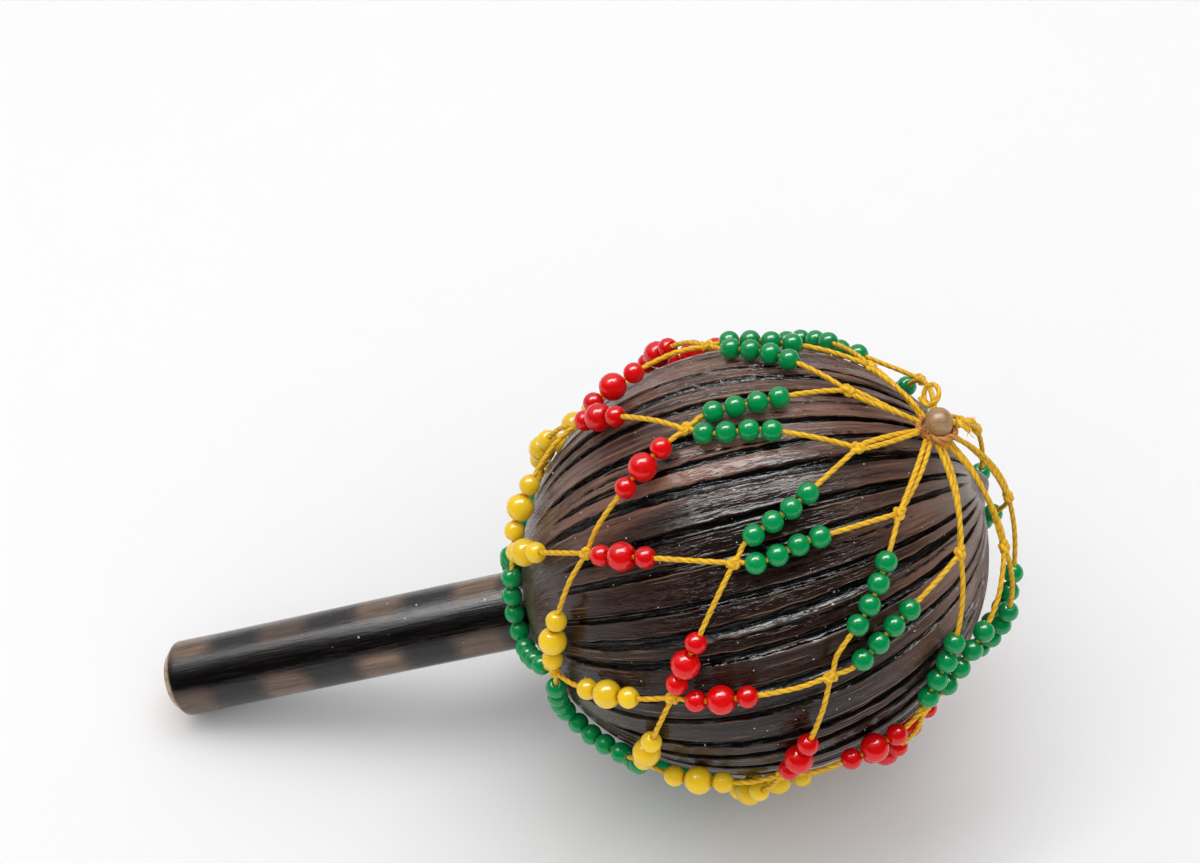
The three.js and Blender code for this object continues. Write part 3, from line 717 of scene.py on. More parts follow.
def add_string(skeleton, form, foot, head, radii, slide):
    """One string of a vee, up from its knot, past its beads, to the knot above."""
    net = form.net
    path = form.string(foot, head, max(radii) - net.small_bead, form.push_on(foot, head))
    free = path.length - 2 * form.knot_space - 2 * sum(radii)
    distance = form.knot_space + net.contact_gap + slide * free
    for radius in radii:
        middle = distance + radius
        skeleton.add_bead(path.at(middle), path.along(middle), radius)
        distance += 2 * radius
    inside_knot = net.cord_radius
    skeleton.add_cord(path.at(np.linspace(inside_knot, path.length - inside_knot, CORD_POINTS)))


# How far the beads stand back from the knot below them on the left and the right string of the vees that face the
# camera, as a share of the free cord. On the others they stand at uneven distances.
SEEN_SLIDES = {
    "green_vee_4": (0.05, 0.22),
    "green_vee_5": (0.18, 0),
    "green_vee_6": (0.18, 0),
    "green_vee_7": (0.55, 0.2),
    "green_vee_8": (0, 0.16),
    "green_vee_9": (0, 0.2),
    "red_vee_5": (0.1, 0),
    "red_vee_6": (0.82, 0),
    "red_vee_7": (0, 0.06),
    "red_vee_8": (0, 0.72),
    "yellow_vee_5": (0.05, 0.12),
    "yellow_vee_6": (0, 0.55),
    "yellow_vee_7": (0.1, 0.27),
}


def slides_of(net, node, string):
    """How far the beads of a vee's two strings stand back from its knot."""
    return SEEN_SLIDES.get(node) or [net.slide_share * (((string + side) * GOLDEN) % 1) for side in (0, 1)]


def vee_skeleton(form, foot_angle, turn, head_angle, radii, slides):
    """Two strings that hang from neighbouring knots and are tied together at their foot."""
    foot = form.direction(foot_angle, turn)
    skeleton = Skeleton()
    for side in (0, 1):
        head = form.direction(head_angle, turn + (side - 0.5) * form.column_step)
        add_string(skeleton, form, foot, head, radii, slides[side])
    middle = form.over_shell(foot, form.height)
    downward = unit(np.cross(np.cross(foot, form.direction(head_angle, turn)), foot))
    skeleton.add_cord(tight_knot(form.net, middle, foot, downward), KNOT_SWELL)
    return skeleton


CROWN_CORD_START = 0.8  # from the crown, in radii of the wooden bead
CROWN_CORD_POINTS = 40
PAIR_TWIST = 2.2  # turn of the two cords round each other, in radians
PAIR_GAP = 1.12  # between their middles and the middle of the pair, in radii of the cord
PAIR_CLOSING = 0.12  # part of their length in which they come together at the knot
PAIR_FLATNESS = 0.45


def crown_cord_skeleton(form, crown, turn):
    """A doubled cord from under the wooden bead to a knot of the first ring."""
    net = form.net
    foot = form.direction(net.first_knots, turn)
    path = form.string(form.crown, foot, 0, np.zeros(3))
    start = crown.bead_radius * CROWN_CORD_START
    distance = np.linspace(start, path.length, CROWN_CORD_POINTS)
    points = path.at(distance)
    outward = unit(points)
    sideways = np.cross(path.along(distance), outward)
    part = (distance - start) / (path.length - start)
    twist = 0.5 + PAIR_TWIST * part[:, None] + 0.4 * turn
    apart = net.cord_radius * PAIR_GAP * smoothstep(1 - part, 0, PAIR_CLOSING)[:, None]
    skeleton = Skeleton()
    aside = apart * (np.cos(twist) * sideways + PAIR_FLATNESS * np.sin(twist) * outward)
    for side in (-1, 1):
        skeleton.add_cord(points + side * aside)
    skeleton.add_cord(tight_knot(net, path.at(path.length), foot, path.along(path.length)), KNOT_SWELL)
    return skeleton


def scallop_skeleton(form, turn):
    """A slack scallop of the hem, as long as its beads need."""
    net = form.net
    bead_length = 2 * net.small_bead * net.hem_beads
    wanted = bead_length + 2 * (form.knot_space + net.hem_cord)
    least, most = 0.0, MOST_SAG
    for _ in range(SAG_TRIES):
        middle = (least + most) / 2
        if form.scallop(turn, middle).length < wanted:
            least = middle
        else:
            most = middle
    path = form.scallop(turn, most)
    skeleton = Skeleton()
    distance = (path.length - bead_length) / 2 + net.small_bead
    for _ in range(net.hem_beads):
        skeleton.add_bead(path.at(distance), path.along(distance), net.small_bead)
        distance += 2 * net.small_bead
    skeleton.add_cord(path.at(np.linspace(net.cord_radius, path.length - net.cord_radius, HEM_CORD_POINTS)))
    return skeleton


RING_POINTS = 121
RING_ASIDE = 0.35  # how far the windings climb the bead's side as well as its front
RING_STEEPNESS = 1.4
RING_WAVER = 0.05  # in radians
RING_STAND_OFF, RING_SLACK = 1.3, 0.25  # from the bead to a winding, in radii of the cord, and how much that varies
RING_SWELL = 1.2  # thickness of the wound cord, in thicknesses of the net's cord
RING_FRAYS = 18
FRAY_POINTS = 6
FRAY_LENGTHS = (0.0018, 0.0036)
FRAY_SPREAD = 0.45
FRAY_BEND = 0.0008
FRAY_ROOT = 0.0005  # how far apart the fibres start
FRAY_DEPTH = 0.0016  # how far inside the cord they start
FRAY_THICKNESS = 0.16
KNOT_SEAT = 0.7  # from the bead's mouth to the middle of the knot on it, in half widths of the knot
STUB_LENGTH = 0.0036
STUB_FRAYS = 4
STUB_TIDINESS = 2.5
LOOP_POINTS = 70
LOOP_OVERLAP = 0.3  # in radians
LOOP_ROOM = 1.1  # between cords that lie side by side, in radii of the cord


def ring_skeleton(form, crown, middle, bead_middle):
    """Cords wound round the foot of the bead, which climb its front and its side, and a frayed end behind it."""
    towards = unit(form.crown_downhill - RING_ASIDE * form.sideways)
    beside = np.cross(form.crown, towards)
    turn = np.linspace(0, 2 * math.pi, RING_POINTS)[:, None]
    outward = np.cos(turn) * towards + np.sin(turn) * beside
    foot = -math.atan2(np.linalg.norm(bead_middle - middle), crown.ring_radius)
    front = 0.5 + 0.5 * np.cos(turn)
    skeleton = Skeleton()
    for winding in range(crown.windings):
        climb = crown.climb * winding / (crown.windings - 1)
        rise = foot + climb * front**RING_STEEPNESS - crown.dive * (1 - front)
        rise = rise + RING_WAVER * np.sin(5 * turn + 2 * winding)
        reach = crown.bead_radius + form.net.cord_radius * (RING_STAND_OFF + RING_SLACK * np.sin(7 * turn + winding))
        line = bead_middle + reach * (np.cos(rise) * outward + np.sin(rise) * form.crown)
        skeleton.add_cord(line, RING_SWELL)
    frayed = unit(-form.crown_downhill - form.sideways)
    root = bead_middle + frayed * crown.bead_radius - form.crown * FRAY_DEPTH
    add_frays(skeleton, root, frayed, RING_FRAYS)
    return skeleton


def add_frays(skeleton, root, way, number):
    """Loose fibres of a frayed cord, which keep closer together the longer their way is."""
    random = np.random.default_rng(number)
    part = np.linspace(0, 1, FRAY_POINTS)[:, None]
    for _ in range(number):
        straight = unit(way + FRAY_SPREAD * random.normal(size=3)) * random.uniform(*FRAY_LENGTHS)
        bend = FRAY_BEND * random.normal(size=3)
        start = root + FRAY_ROOT * random.normal(size=3)
        skeleton.add_cord(start + straight * part + bend * part**2, FRAY_THICKNESS)


def end_knot_skeleton(net, crown, middle, axis):
    """The cord through the wooden bead, its knot at the bead's mouth, two cut ends and a few loose fibres."""
    side, beside = axes_across(axis)
    mouth = middle + axis * (crown.bead_half_length + net.contact_gap)
    knot = mouth + axis * crown.end_knot * KNOT_SEAT
    skeleton = Skeleton()
    skeleton.add_cord(np.linspace(middle - axis * crown.bead_half_length * 0.4, knot, 12))
    skeleton.add_cord(tight_knot(net, knot, axis, side))
    for way in (unit(0.3 * side + axis), unit(0.9 * axis - 0.5 * side - 0.6 * beside)):
        stub = knot + way * STUB_LENGTH
        skeleton.add_cord(np.linspace(knot, stub, 6))
        add_frays(skeleton, stub - way * FRAY_DEPTH, way * STUB_TIDINESS, STUB_FRAYS)
    return skeleton


def loop_skeleton(form, crown, middle):
    """A small loop of cord that stands on a crown cord beside the bead."""
    net = form.net
    outward = form.crown_downhill * math.cos(crown.loop_turn) + form.sideways * math.sin(crown.loop_turn)
    aside = crown.bead_radius + net.contact_gap + net.cord_radius * LOOP_ROOM + crown.loop_radius
    height = crown.cord_pair + net.contact_gap + crown.loop_radius
    centre = middle + form.crown * height + outward * aside
    turn = np.linspace(-LOOP_OVERLAP, 2 * math.pi + LOOP_OVERLAP, LOOP_POINTS)[:, None]
    aslant = np.cross(form.crown, outward) * net.cord_radius * LOOP_ROOM * (turn / math.pi - 1)
    line = centre + crown.loop_radius * (np.sin(turn) * outward - np.cos(turn) * form.crown) + aslant
    skeleton = Skeleton()
    skeleton.add_cord(line)
    return skeleton


# Geometry nodes


class Wiring:
    """Adds nodes to a tree and joins them. Inputs are given by name or number, as values or as sockets."""

    def __init__(self, tree):
        self.tree = tree

    def add(self, kind, inputs=None, **settings):
        """A node with its settings and inputs."""
        node = self.tree.nodes.new(kind)
        for name, value in settings.items():
            setattr(node, name, value)
        self.feed(node, inputs or {})
        return node

    def feed(self, node, inputs):
        """Gives a node its inputs."""
        for key, value in inputs.items():
            if isinstance(value, bpy.types.NodeSocket):
                self.tree.links.new(value, node.inputs[key])
            else:
                node.inputs[key].default_value = value

    def math(self, operation, *values):
        """Arithmetic on numbers."""
        return self.add("ShaderNodeMath", dict(enumerate(values)), operation=operation).outputs[0]

    def vector(self, operation, *values):
        """Arithmetic on vectors."""
        return self.add("ShaderNodeVectorMath", dict(enumerate(values)), operation=operation).outputs[0]

    def between(self, value, low, high, bottom=0.0, top=1.0):
        """A smooth rise from bottom to top as the value goes from low to high."""
        inputs = {0: value, 1: low, 2: high, 3: bottom, 4: top}
        return self.add("ShaderNodeMapRange", inputs, interpolation_type="SMOOTHSTEP").outputs[0]

    def mix(self, part, first, second, blend="MIX"):
        """A colour between two colours."""
        inputs = {0: part, 6: first, 7: second}
        return self.add("ShaderNodeMix", inputs, data_type="RGBA", blend_type=blend, clamp_factor=True).outputs[2]

    def layered(self, body, *layers):
        """A colour under others, each with its cover."""
        for cover, tone in layers:
            body = self.mix(cover, body, tone)
        return body

    def noise(self, vector, scale, detail=2.0, roughness=0.5, squeeze=None):
        """Cloudy noise from 0 to 1, drawn out along the axes that squeeze makes shorter."""
        if squeeze:
            vector = self.vector("MULTIPLY", vector, squeeze)
        inputs = {"Vector": vector, "Scale": scale, "Detail": detail, "Roughness": roughness}
        return self.add("ShaderNodeTexNoise", inputs).outputs[0]

    def stirred(self, value, noise, amount):
        """A value that noise moves up and down."""
        return self.math("MULTIPLY_ADD", self.math("SUBTRACT", noise, 0.5), amount, value)

    def group(self, tree, inputs):
        """The outputs of a shared group, placed with its own values."""
        return self.add("ShaderNodeGroup", inputs, node_tree=tree).outputs

    def attribute(self, name, output="Fac"):
        """A value kept in the mesh."""
        return self.add("ShaderNodeAttribute", attribute_name=name).outputs[output]


def new_group(name, kind, inputs, outputs):
    """A node group with named inputs and outputs, and its wiring."""
    group = bpy.data.node_groups.new(name, kind)
    for label, socket, default in inputs:
        made = group.interface.new_socket(label, in_out="INPUT", socket_type=socket)
        if default is not None:
            made.default_value = default
    for label, socket in outputs:
        group.interface.new_socket(label, in_out="OUTPUT", socket_type=socket)
    wiring = Wiring(group)
    entry = wiring.add("NodeGroupInput").outputs
    return group, wiring, entry


TWIST_STEPS = 10.0  # rows of corners in one turn of the cord's plies
CORD_SIDES = 10
PLY_RELIEF = 0.07  # half of the depth of the waist between the two plies, in radii of the cord
BEAD_SEGMENTS, BEAD_RINGS = 16, 10
POLE_HEIGHT = 0.98  # corners of a bead above this are the mouths of its hole
MOUTH_DEPTH = 0.45
TONE_SEED = 500.0


def strung_net_nodes():
    """Turns a skeleton into twisted two-ply cord and drilled beads."""
    name = "Strung net"
    if name in bpy.data.node_groups:
        return bpy.data.node_groups[name]
    group, wiring, entry = new_group(
        name,
        "GeometryNodeTree",
        [
            ("Skeleton", "NodeSocketGeometry", None),
            ("Cord Radius", "NodeSocketFloat", None),
            ("Twist Pitch", "NodeSocketFloat", None),
            ("Seed", "NodeSocketInt", None),
            ("Cord", "NodeSocketMaterial", None),
            ("Beads", "NodeSocketMaterial", None),
        ],
        [("Piece", "NodeSocketGeometry")],
    )
    add = wiring.add
    radius = kept(wiring, "bead_radius")
    is_bead = above(wiring, radius, 0.0)
    parts = add("GeometryNodeSeparateGeometry", {0: entry["Skeleton"], 1: is_bead}, domain="POINT").outputs

    # Cord: a two-lobed section that goes round once in every pitch.
    measure = add("GeometryNodeSplineParameter").outputs
    line = add("GeometryNodeMeshToCurve", {0: parts["Inverted"]}).outputs[0]
    step = wiring.math("DIVIDE", entry["Twist Pitch"], TWIST_STEPS)
    line = add("GeometryNodeResampleCurve", {"Curve": line, "Length": step}, mode="LENGTH").outputs[0]
    twist = wiring.math("MULTIPLY", wiring.math("DIVIDE", measure["Length"], entry["Twist Pitch"]), 2 * math.pi)
    line = add("GeometryNodeSetCurveTilt", {"Curve": line, "Tilt": twist}).outputs[0]
    line = stored(wiring, line, "along", measure["Length"])
    circle = {"Resolution": CORD_SIDES, "Radius": entry["Cord Radius"]}
    section = add("GeometryNodeCurvePrimitiveCircle", circle).outputs[0]
    section = stored(wiring, section, "round", measure["Factor"])
    lobes = wiring.math("COSINE", wiring.math("MULTIPLY", measure["Factor"], 4 * math.pi))
    lobed = wiring.math("MULTIPLY_ADD", lobes, PLY_RELIEF, 1 - PLY_RELIEF)
    position = add("GeometryNodeInputPosition").outputs[0]
    position = add("ShaderNodeVectorMath", {0: position, "Scale": lobed}, operation="SCALE").outputs[0]
    section = add("GeometryNodeSetPosition", {"Geometry": section, "Position": position}).outputs[0]
    thickness = kept(wiring, "thickness")
    sweep = {"Curve": line, "Profile Curve": section, "Scale": thickness, "Fill Caps": True}
    cord = add("GeometryNodeCurveToMesh", sweep).outputs[0]

    # Beads: a ball whose two poles are sunk to make the mouths of its hole.
    round_form = {"Segments": BEAD_SEGMENTS, "Rings": BEAD_RINGS, "Radius": 1.0}
    ball = add("GeometryNodeMeshUVSphere", round_form).outputs[0]
    position = add("GeometryNodeInputPosition").outputs[0]
    height = wiring.math("ABSOLUTE", add("ShaderNodeSeparateXYZ", {0: position}).outputs[2])
    at_pole = above(wiring, height, POLE_HEIGHT)
    sunk = wiring.vector("MULTIPLY", position, (1.0, 1.0, MOUTH_DEPTH))
    ball = add("GeometryNodeSetPosition", {"Geometry": ball, "Selection": at_pole, "Position": sunk}).outputs[0]
    ball = stored(wiring, ball, "bead", True, "BOOLEAN", "FACE")
    axis = kept(wiring, "bead_axis", "FLOAT_VECTOR")
    aligned = add("FunctionNodeAlignRotationToVector", {"Vector": axis}, axis="Z").outputs[0]
    spin = random_value(wiring, 0.0, 2 * math.pi, entry["Seed"])
    spin = add("FunctionNodeAxisAngleToRotation", {"Axis": (0.0, 0.0, 1.0), "Angle": spin}).outputs[0]
    rotation = {"Rotation": aligned, "Rotate By": spin}
    turned = add("FunctionNodeRotateRotation", rotation, rotation_space="LOCAL").outputs[0]
    instances = {"Points": parts["Selection"], "Instance": ball, "Rotation": turned, "Scale": radius}
    beads = add("GeometryNodeInstanceOnPoints", instances).outputs[0]
    tone_seed = wiring.math("ADD", entry["Seed"], TONE_SEED)
    beads = stored(wiring, beads, "tone", random_value(wiring, 0.0, 1.0, tone_seed), domain="INSTANCE")

    joined = add("GeometryNodeJoinGeometry")
    wiring.tree.links.new(cord, joined.inputs[0])
    wiring.tree.links.new(beads, joined.inputs[0])
    whole = add("GeometryNodeRealizeInstances", {0: joined.outputs[0]}).outputs[0]
    whole = add("GeometryNodeSetShadeSmooth", {0: whole}).outputs[0]
    whole = add("GeometryNodeSetMaterial", {"Geometry": whole, "Material": entry["Cord"]}).outputs[0]
    bead_faces = kept(wiring, "bead", "BOOLEAN")
    plastic = {"Geometry": whole, "Selection": bead_faces, "Material": entry["Beads"]}
    whole = add("GeometryNodeSetMaterial", plastic).outputs[0]
    add("NodeGroupOutput", {0: whole})
    return group


def kept(wiring, name, kind="FLOAT"):
    """A value that the geometry keeps under a name."""
    return wiring.add("GeometryNodeInputNamedAttribute", {"Name": name}, data_type=kind).outputs[0]


def above(wiring, value, limit):
    """True where a number is above a limit."""
    inputs = {0: value, 1: limit}
    return wiring.add("FunctionNodeCompare", inputs, data_type="FLOAT", operation="GREATER_THAN").outputs[0]


def stored(wiring, geometry, name, value, kind="FLOAT", domain="POINT"):
    """Geometry that keeps a value under a name."""
    inputs = {"Geometry": geometry, "Name": name, "Value": value}
    return wiring.add("GeometryNodeStoreNamedAttribute", inputs, data_type=kind, domain=domain).outputs[0]


def random_value(wiring, low, high, seed):
    """A random number for each piece."""
    return wiring.add("FunctionNodeRandomValue", {2: low, 3: high, "Seed": seed}, data_type="FLOAT").outputs[1]


def strung_mesh(name, skeleton, net, seed, cord, beads):
    """The plain mesh that the strung-net nodes make of a skeleton."""
    holder = bpy.data.objects.new(name, skeleton.mesh(name))
    bpy.context.scene.collection.objects.link(holder)
    modifier = holder.modifiers.new("Strung net", "NODES")
    modifier.node_group = strung_net_nodes()
    values = {
        "Cord Radius": net.cord_radius,
        "Twist Pitch": net.twist_pitch,
        "Seed": seed,
        "Cord": cord,
        "Beads": beads,
    }
    for item in modifier.node_group.interface.items_tree:
        if item.in_out == "INPUT" and item.name in values:
            modifier[item.identifier] = values[item.name]
    bpy.context.view_layer.update()
    graph = bpy.context.evaluated_depsgraph_get()
    mesh = bpy.data.meshes.new_from_object(holder.evaluated_get(graph), preserve_all_data_layers=True, depsgraph=graph)
    mesh.name = name
    if mesh.materials[0] is None:
        mesh.materials.pop(index=0)
    if not mesh.polygons:
        raise RuntimeError(f"the nodes made nothing for {name}")
    bpy.data.objects.remove(holder)
    return mesh


# Shared finishes


COLOUR = "NodeSocketColor"
NUMBER = "NodeSocketFloat"
VECTOR = "NodeSocketVector"


def shared_group(name, inputs, outputs, build):
    """A shader group that is built once and then shared by its materials."""
    if name in bpy.data.node_groups:
        return bpy.data.node_groups[name]
    group, wiring, entry = new_group(name, "ShaderNodeTree", inputs, outputs)
    wiring.add("NodeGroupOutput", build(wiring, entry))
    return group


def dust_and_glint_group():
    """Small pale specks that lie here and there: dust, and painted glints."""

    def build(wiring, entry):
        inputs = {"Vector": entry["Vector"], "Scale": entry["Scale"]}
        specks = wiring.add("ShaderNodeTexVoronoi", inputs)
        chance = wiring.add("ShaderNodeSeparateColor", {0: specks.outputs["Color"]}).outputs
        size = wiring.math("MULTIPLY", chance[1], entry["Size"])
        speck = wiring.math("LESS_THAN", specks.outputs["Distance"], size)
        chosen = wiring.math("LESS_THAN", chance[0], entry["Amount"])
        return {"Specks": wiring.math("MULTIPLY", speck, chosen)}

    inputs = [("Vector", VECTOR, None), ("Scale", NUMBER, None), ("Size", NUMBER, None), ("Amount", NUMBER, 0.35)]
    return shared_group("Dust", inputs, [("Specks", NUMBER)], build)


def lacquer_group():
    """Lacquer that has sunk into the fibres: ripples along them, pits, and duller stretches."""

    def build(wiring, entry):
        stretched = wiring.vector("MULTIPLY", entry["Fibre"], entry["Stretch"])
        ripples = wiring.noise(stretched, scale=entry["Scale"], detail=4.0, roughness=0.6)
        pits = wiring.noise(entry["Fibre"], scale=1700.0, detail=3.0, roughness=0.65, squeeze=(1.0, 1.0, 0.45))
        clouds = wiring.noise(entry["Fibre"], scale=42.0, detail=3.0, roughness=0.55)
        rough_stretch = wiring.between(clouds, 0.44, 0.6)
        pit_part = wiring.math("MULTIPLY", pits, wiring.math("MULTIPLY_ADD", rough_stretch, 0.5, 0.15))
        height = wiring.math("MULTIPLY_ADD", pit_part, entry["Pits"], ripples)
        return {"Height": height, "Ripples": ripples, "Rough": rough_stretch}

    inputs = [
        ("Fibre", VECTOR, None),
        ("Stretch", VECTOR, (1.0, 1.0, 0.07)),
        ("Scale", NUMBER, 650.0),
        ("Pits", NUMBER, 1.0),
    ]
    return shared_group("Lacquer", inputs, [("Height", NUMBER), ("Ripples", NUMBER), ("Rough", NUMBER)], build)


def wood_group():
    """Straight wood grain: fine dark lines along the wood, and soft bands."""

    def build(wiring, entry):
        lines = wiring.noise(entry["Vector"], scale=1900.0, detail=4.0, roughness=0.6, squeeze=(0.04, 1.0, 1.0))
        bands = wiring.noise(entry["Vector"], scale=210.0, squeeze=(0.12, 1.0, 1.0))
        dark = wiring.math("MULTIPLY_ADD", bands, 0.5, wiring.math("MULTIPLY", lines, 0.6))
        colour_out = wiring.mix(wiring.between(dark, 0.42, 0.7), entry["Light"], entry["Dark"])
        return {"Colour": colour_out, "Height": lines}

    inputs = [("Vector", VECTOR, None), ("Light", COLOUR, None), ("Dark", COLOUR, None)]
    return shared_group("Wood", inputs, [("Colour", COLOUR), ("Height", NUMBER)], build)


def moulded_group():
    """Moulded plastic: each bead a little lighter or darker, with a faint orange-peel skin and rubbed places."""

    def build(wiring, entry):
        tone = wiring.attribute("tone")
        place_in = wiring.add("ShaderNodeTexCoord").outputs["Object"]
        darker = wiring.mix(1.0, entry["Colour"], (0.88, 0.88, 0.88, 1.0), "MULTIPLY")
        body = wiring.mix(wiring.between(tone, 0.0, 1.0), darker, entry["Colour"])
        clouds = wiring.noise(place_in, scale=420.0, detail=3.0, roughness=0.55)
        paler = wiring.mix(wiring.between(clouds, 0.5, 0.85, 0.0, 0.03), body, entry["Pale"])
        rubbed = wiring.noise(place_in, scale=900.0, detail=4.0, roughness=0.65)
        roughness = wiring.between(rubbed, 0.35, 0.75, 0.03, 0.1)
        skin = wiring.noise(place_in, scale=1500.0)
        return {"Colour": paler, "Roughness": roughness, "Height": skin}

    inputs = [("Colour", COLOUR, None), ("Pale", COLOUR, None)]
    outputs = [("Colour", COLOUR), ("Roughness", NUMBER), ("Height", NUMBER)]
    return shared_group("Moulded plastic", inputs, outputs, build)


# Materials


def new_material(name):
    """A material with its wiring and its shader."""
    material = bpy.data.materials.new(name)
    material.use_nodes = True
    return material, Wiring(material.node_tree), material.node_tree.nodes["Principled BSDF"]


def finish(wiring, shader, height, depth, strength, **inputs):
    """Joins the sockets of a finish to its shader, with a bump of a depth in metres."""
    bump = {"Height": height, "Distance": depth, "Strength": strength}
    inputs["Normal"] = wiring.add("ShaderNodeBump", bump).outputs[0]
    wiring.feed(shader, {name.replace("_", " "): value for name, value in inputs.items()})


def solid(values):
    """A colour with full cover."""
    return (*values, 1.0)


def shell_material(shell):
    """Dark lacquered coconut with black cuts, a smooth collar, a dull apex and worn edges. It has painted shade on its
    front side, painted highlights along the edges and painted glints in specks and streaks.
    """
    material, wiring, shader = new_material("lacquered_coconut")
    fibre = wiring.attribute("fibre", "Vector")
    lacquer = wiring.group(lacquer_group(), {"Fibre": fibre})
    # Dust, and painted glints in the pale specks.
    dust_and_glints = wiring.group(dust_and_glint_group(), {"Vector": fibre, "Scale": 420.0, "Size": 0.13, "Amount": 0.5})[0]
    clouds = wiring.noise(fibre, scale=60.0, squeeze=(1.0, 1.0, 0.3))
    streaks = wiring.math("MULTIPLY_ADD", lacquer["Ripples"], 0.5, wiring.math("MULTIPLY", clouds, 0.5))
    body = wiring.mix(wiring.between(streaks, 0.38, 0.62), solid(shell.dark_ridge), solid(shell.ridge))
    sideways, _, from_apex = wiring.add("ShaderNodeSeparateXYZ", {0: fibre}).outputs
    # Painted shade: a mask over the side of the shell that faces the front and the floor. It darkens the colour there
    # and weakens the bump.
    painted_side_shade = wiring.between(wiring.stirred(sideways, clouds, 0.05), -0.008, -0.042)
    painted_side_shade = wiring.math("MULTIPLY", painted_side_shade, wiring.between(from_apex, 0.035, 0.075))
    chips = wiring.noise(fibre, scale=800.0, detail=3.0, roughness=0.6, squeeze=(1.0, 1.0, 0.4))
    cut = wiring.between(wiring.stirred(wiring.attribute("carve"), chips, 0.7), 0.2, 0.36)
    # Wear on the lips of the cuts, made pale enough to paint the highlight lines that the lips catch.
    worn_and_highlit_lip = wiring.between(lacquer["Ripples"], 0.45, 0.68, 0.0, 0.8)
    worn_and_highlit_lip = wiring.math("MULTIPLY", wiring.attribute("lip"), worn_and_highlit_lip)
    # Painted glints: pale streaks along the fibres.
    fibres = wiring.noise(fibre, scale=1500.0, squeeze=(1.0, 1.0, 0.03))
    body = wiring.layered(
        body,
        (wiring.between(from_apex, 0.055, 0.025, 0.0, 0.75), solid(shell.dull_apex)),
        # painted shade on the front side of the shell
        (wiring.math("MULTIPLY", painted_side_shade, 0.9), solid(shell.painted_side_shade)),
        (wiring.math("MULTIPLY", wiring.attribute("collar"), 0.85), solid(shell.smooth_collar)),
        (cut, solid(shell.groove)),
        # worn lips with painted highlight, then painted glints along the fibres
        (worn_and_highlit_lip, solid(shell.worn_edge_and_glint)),
        (wiring.between(fibres, 0.66, 0.74, 0.0, 0.6), solid(shell.worn_edge_and_glint)),
        (dust_and_glints, solid(shell.dust_and_glints)),
    )
    roughness = wiring.math("MULTIPLY_ADD", lacquer["Ripples"], 0.14, 0.02)
    threads = wiring.noise(fibre, scale=1900.0, squeeze=(1.0, 1.0, 0.14))
    raised = wiring.between(threads, 0.45, 0.65)
    glints = wiring.math("MULTIPLY", raised, wiring.math("MULTIPLY_ADD", lacquer["Rough"], 0.5, 0.35))
    height = wiring.math("ADD", lacquer["Height"], glints)
    height = wiring.math("MULTIPLY", height, wiring.math("MULTIPLY_ADD", painted_side_shade, -0.65, 1.0))
    finish(wiring, shader, height, depth=0.0003, strength=0.9, Base_Color=body, Roughness=roughness, IOR=1.4)
    return material


def handle_material(handle, shell):
    """Wood charred black with brown streaks round bare tan patches, under glossy lacquer."""
    material, wiring, shader = new_material("scorched_wood")
    grain = wiring.attribute("grain", "Vector")
    tones = {"Vector": grain, "Light": solid(handle.bare), "Dark": solid(handle.bare_dark)}
    wood = wiring.group(wood_group(), tones)
    ragged = wiring.noise(grain, scale=330.0, detail=4.0, roughness=0.6, squeeze=(0.3, 1.0, 1.0))
    level = wiring.stirred(wiring.attribute("patch"), ragged, 0.35)
    level = wiring.stirred(level, wood["Height"], 0.5)
    streaks = wiring.between(wood["Height"], 0.5, 0.7, 0.0, 0.5)
    charred = wiring.mix(streaks, solid(handle.scorched), solid(handle.toasted))
    soot = wiring.math("MULTIPLY", wiring.attribute("soot"), 0.7)
    bare = wiring.mix(soot, wood["Colour"], solid(handle.toasted))
    end = wiring.attribute("end")
    rings = wiring.noise(grain, scale=600.0, detail=5.0, roughness=0.65, squeeze=(0.1, 1.0, 1.0))
    end_grain = wiring.mix(wiring.between(rings, 0.35, 0.7), solid(handle.butt), wood["Colour"])
    # Dust, and painted glints in the pale specks.
    dust_and_glints = wiring.group(dust_and_glint_group(), {"Vector": grain, "Scale": 330.0, "Size": 0.1})[0]
    body = wiring.layered(
        charred,
        (wiring.between(level, -0.22, 0.1), solid(handle.toasted)),
        (wiring.between(level, 0.0, 0.42), bare),
        (end, end_grain),
        (dust_and_glints, solid(shell.dust_and_glints)),
    )
    along_fibre = {"Fibre": grain, "Stretch": (0.05, 1.0, 1.0), "Scale": 520.0, "Pits": 0.5}
    lacquer = wiring.group(lacquer_group(), along_fibre)
    roughness = wiring.math("MULTIPLY_ADD", lacquer["Ripples"], 0.18, 0.06)
    roughness = wiring.math("MULTIPLY_ADD", end, 0.4, roughness)
    height = wiring.math("MULTIPLY_ADD", wood["Height"], 1.2, lacquer["Height"])
    finish(wiring, shader, height, depth=0.00012, strength=0.7, Base_Color=body, Roughness=roughness, IOR=1.5)
    return material


def bead_material(name, tone):
    """Glossy moulded plastic of one colour."""
    material, wiring, shader = new_material(name)
    pale = solid([part + (1 - part) * 0.3 for part in tone])
    inputs = {"Colour": solid(tone), "Pale": pale}
    plastic = wiring.group(moulded_group(), inputs)
    look = {"Base_Color": plastic["Colour"], "Roughness": plastic["Roughness"], "IOR": 1.5}
    scatter = {"Subsurface_Weight": 0.12, "Subsurface_Radius": (0.002, 0.002, 0.002), "Subsurface_Scale": 1.0}
    finish(wiring, shader, plastic["Height"], depth=0.00003, strength=0.5, **look, **scatter)
    return material


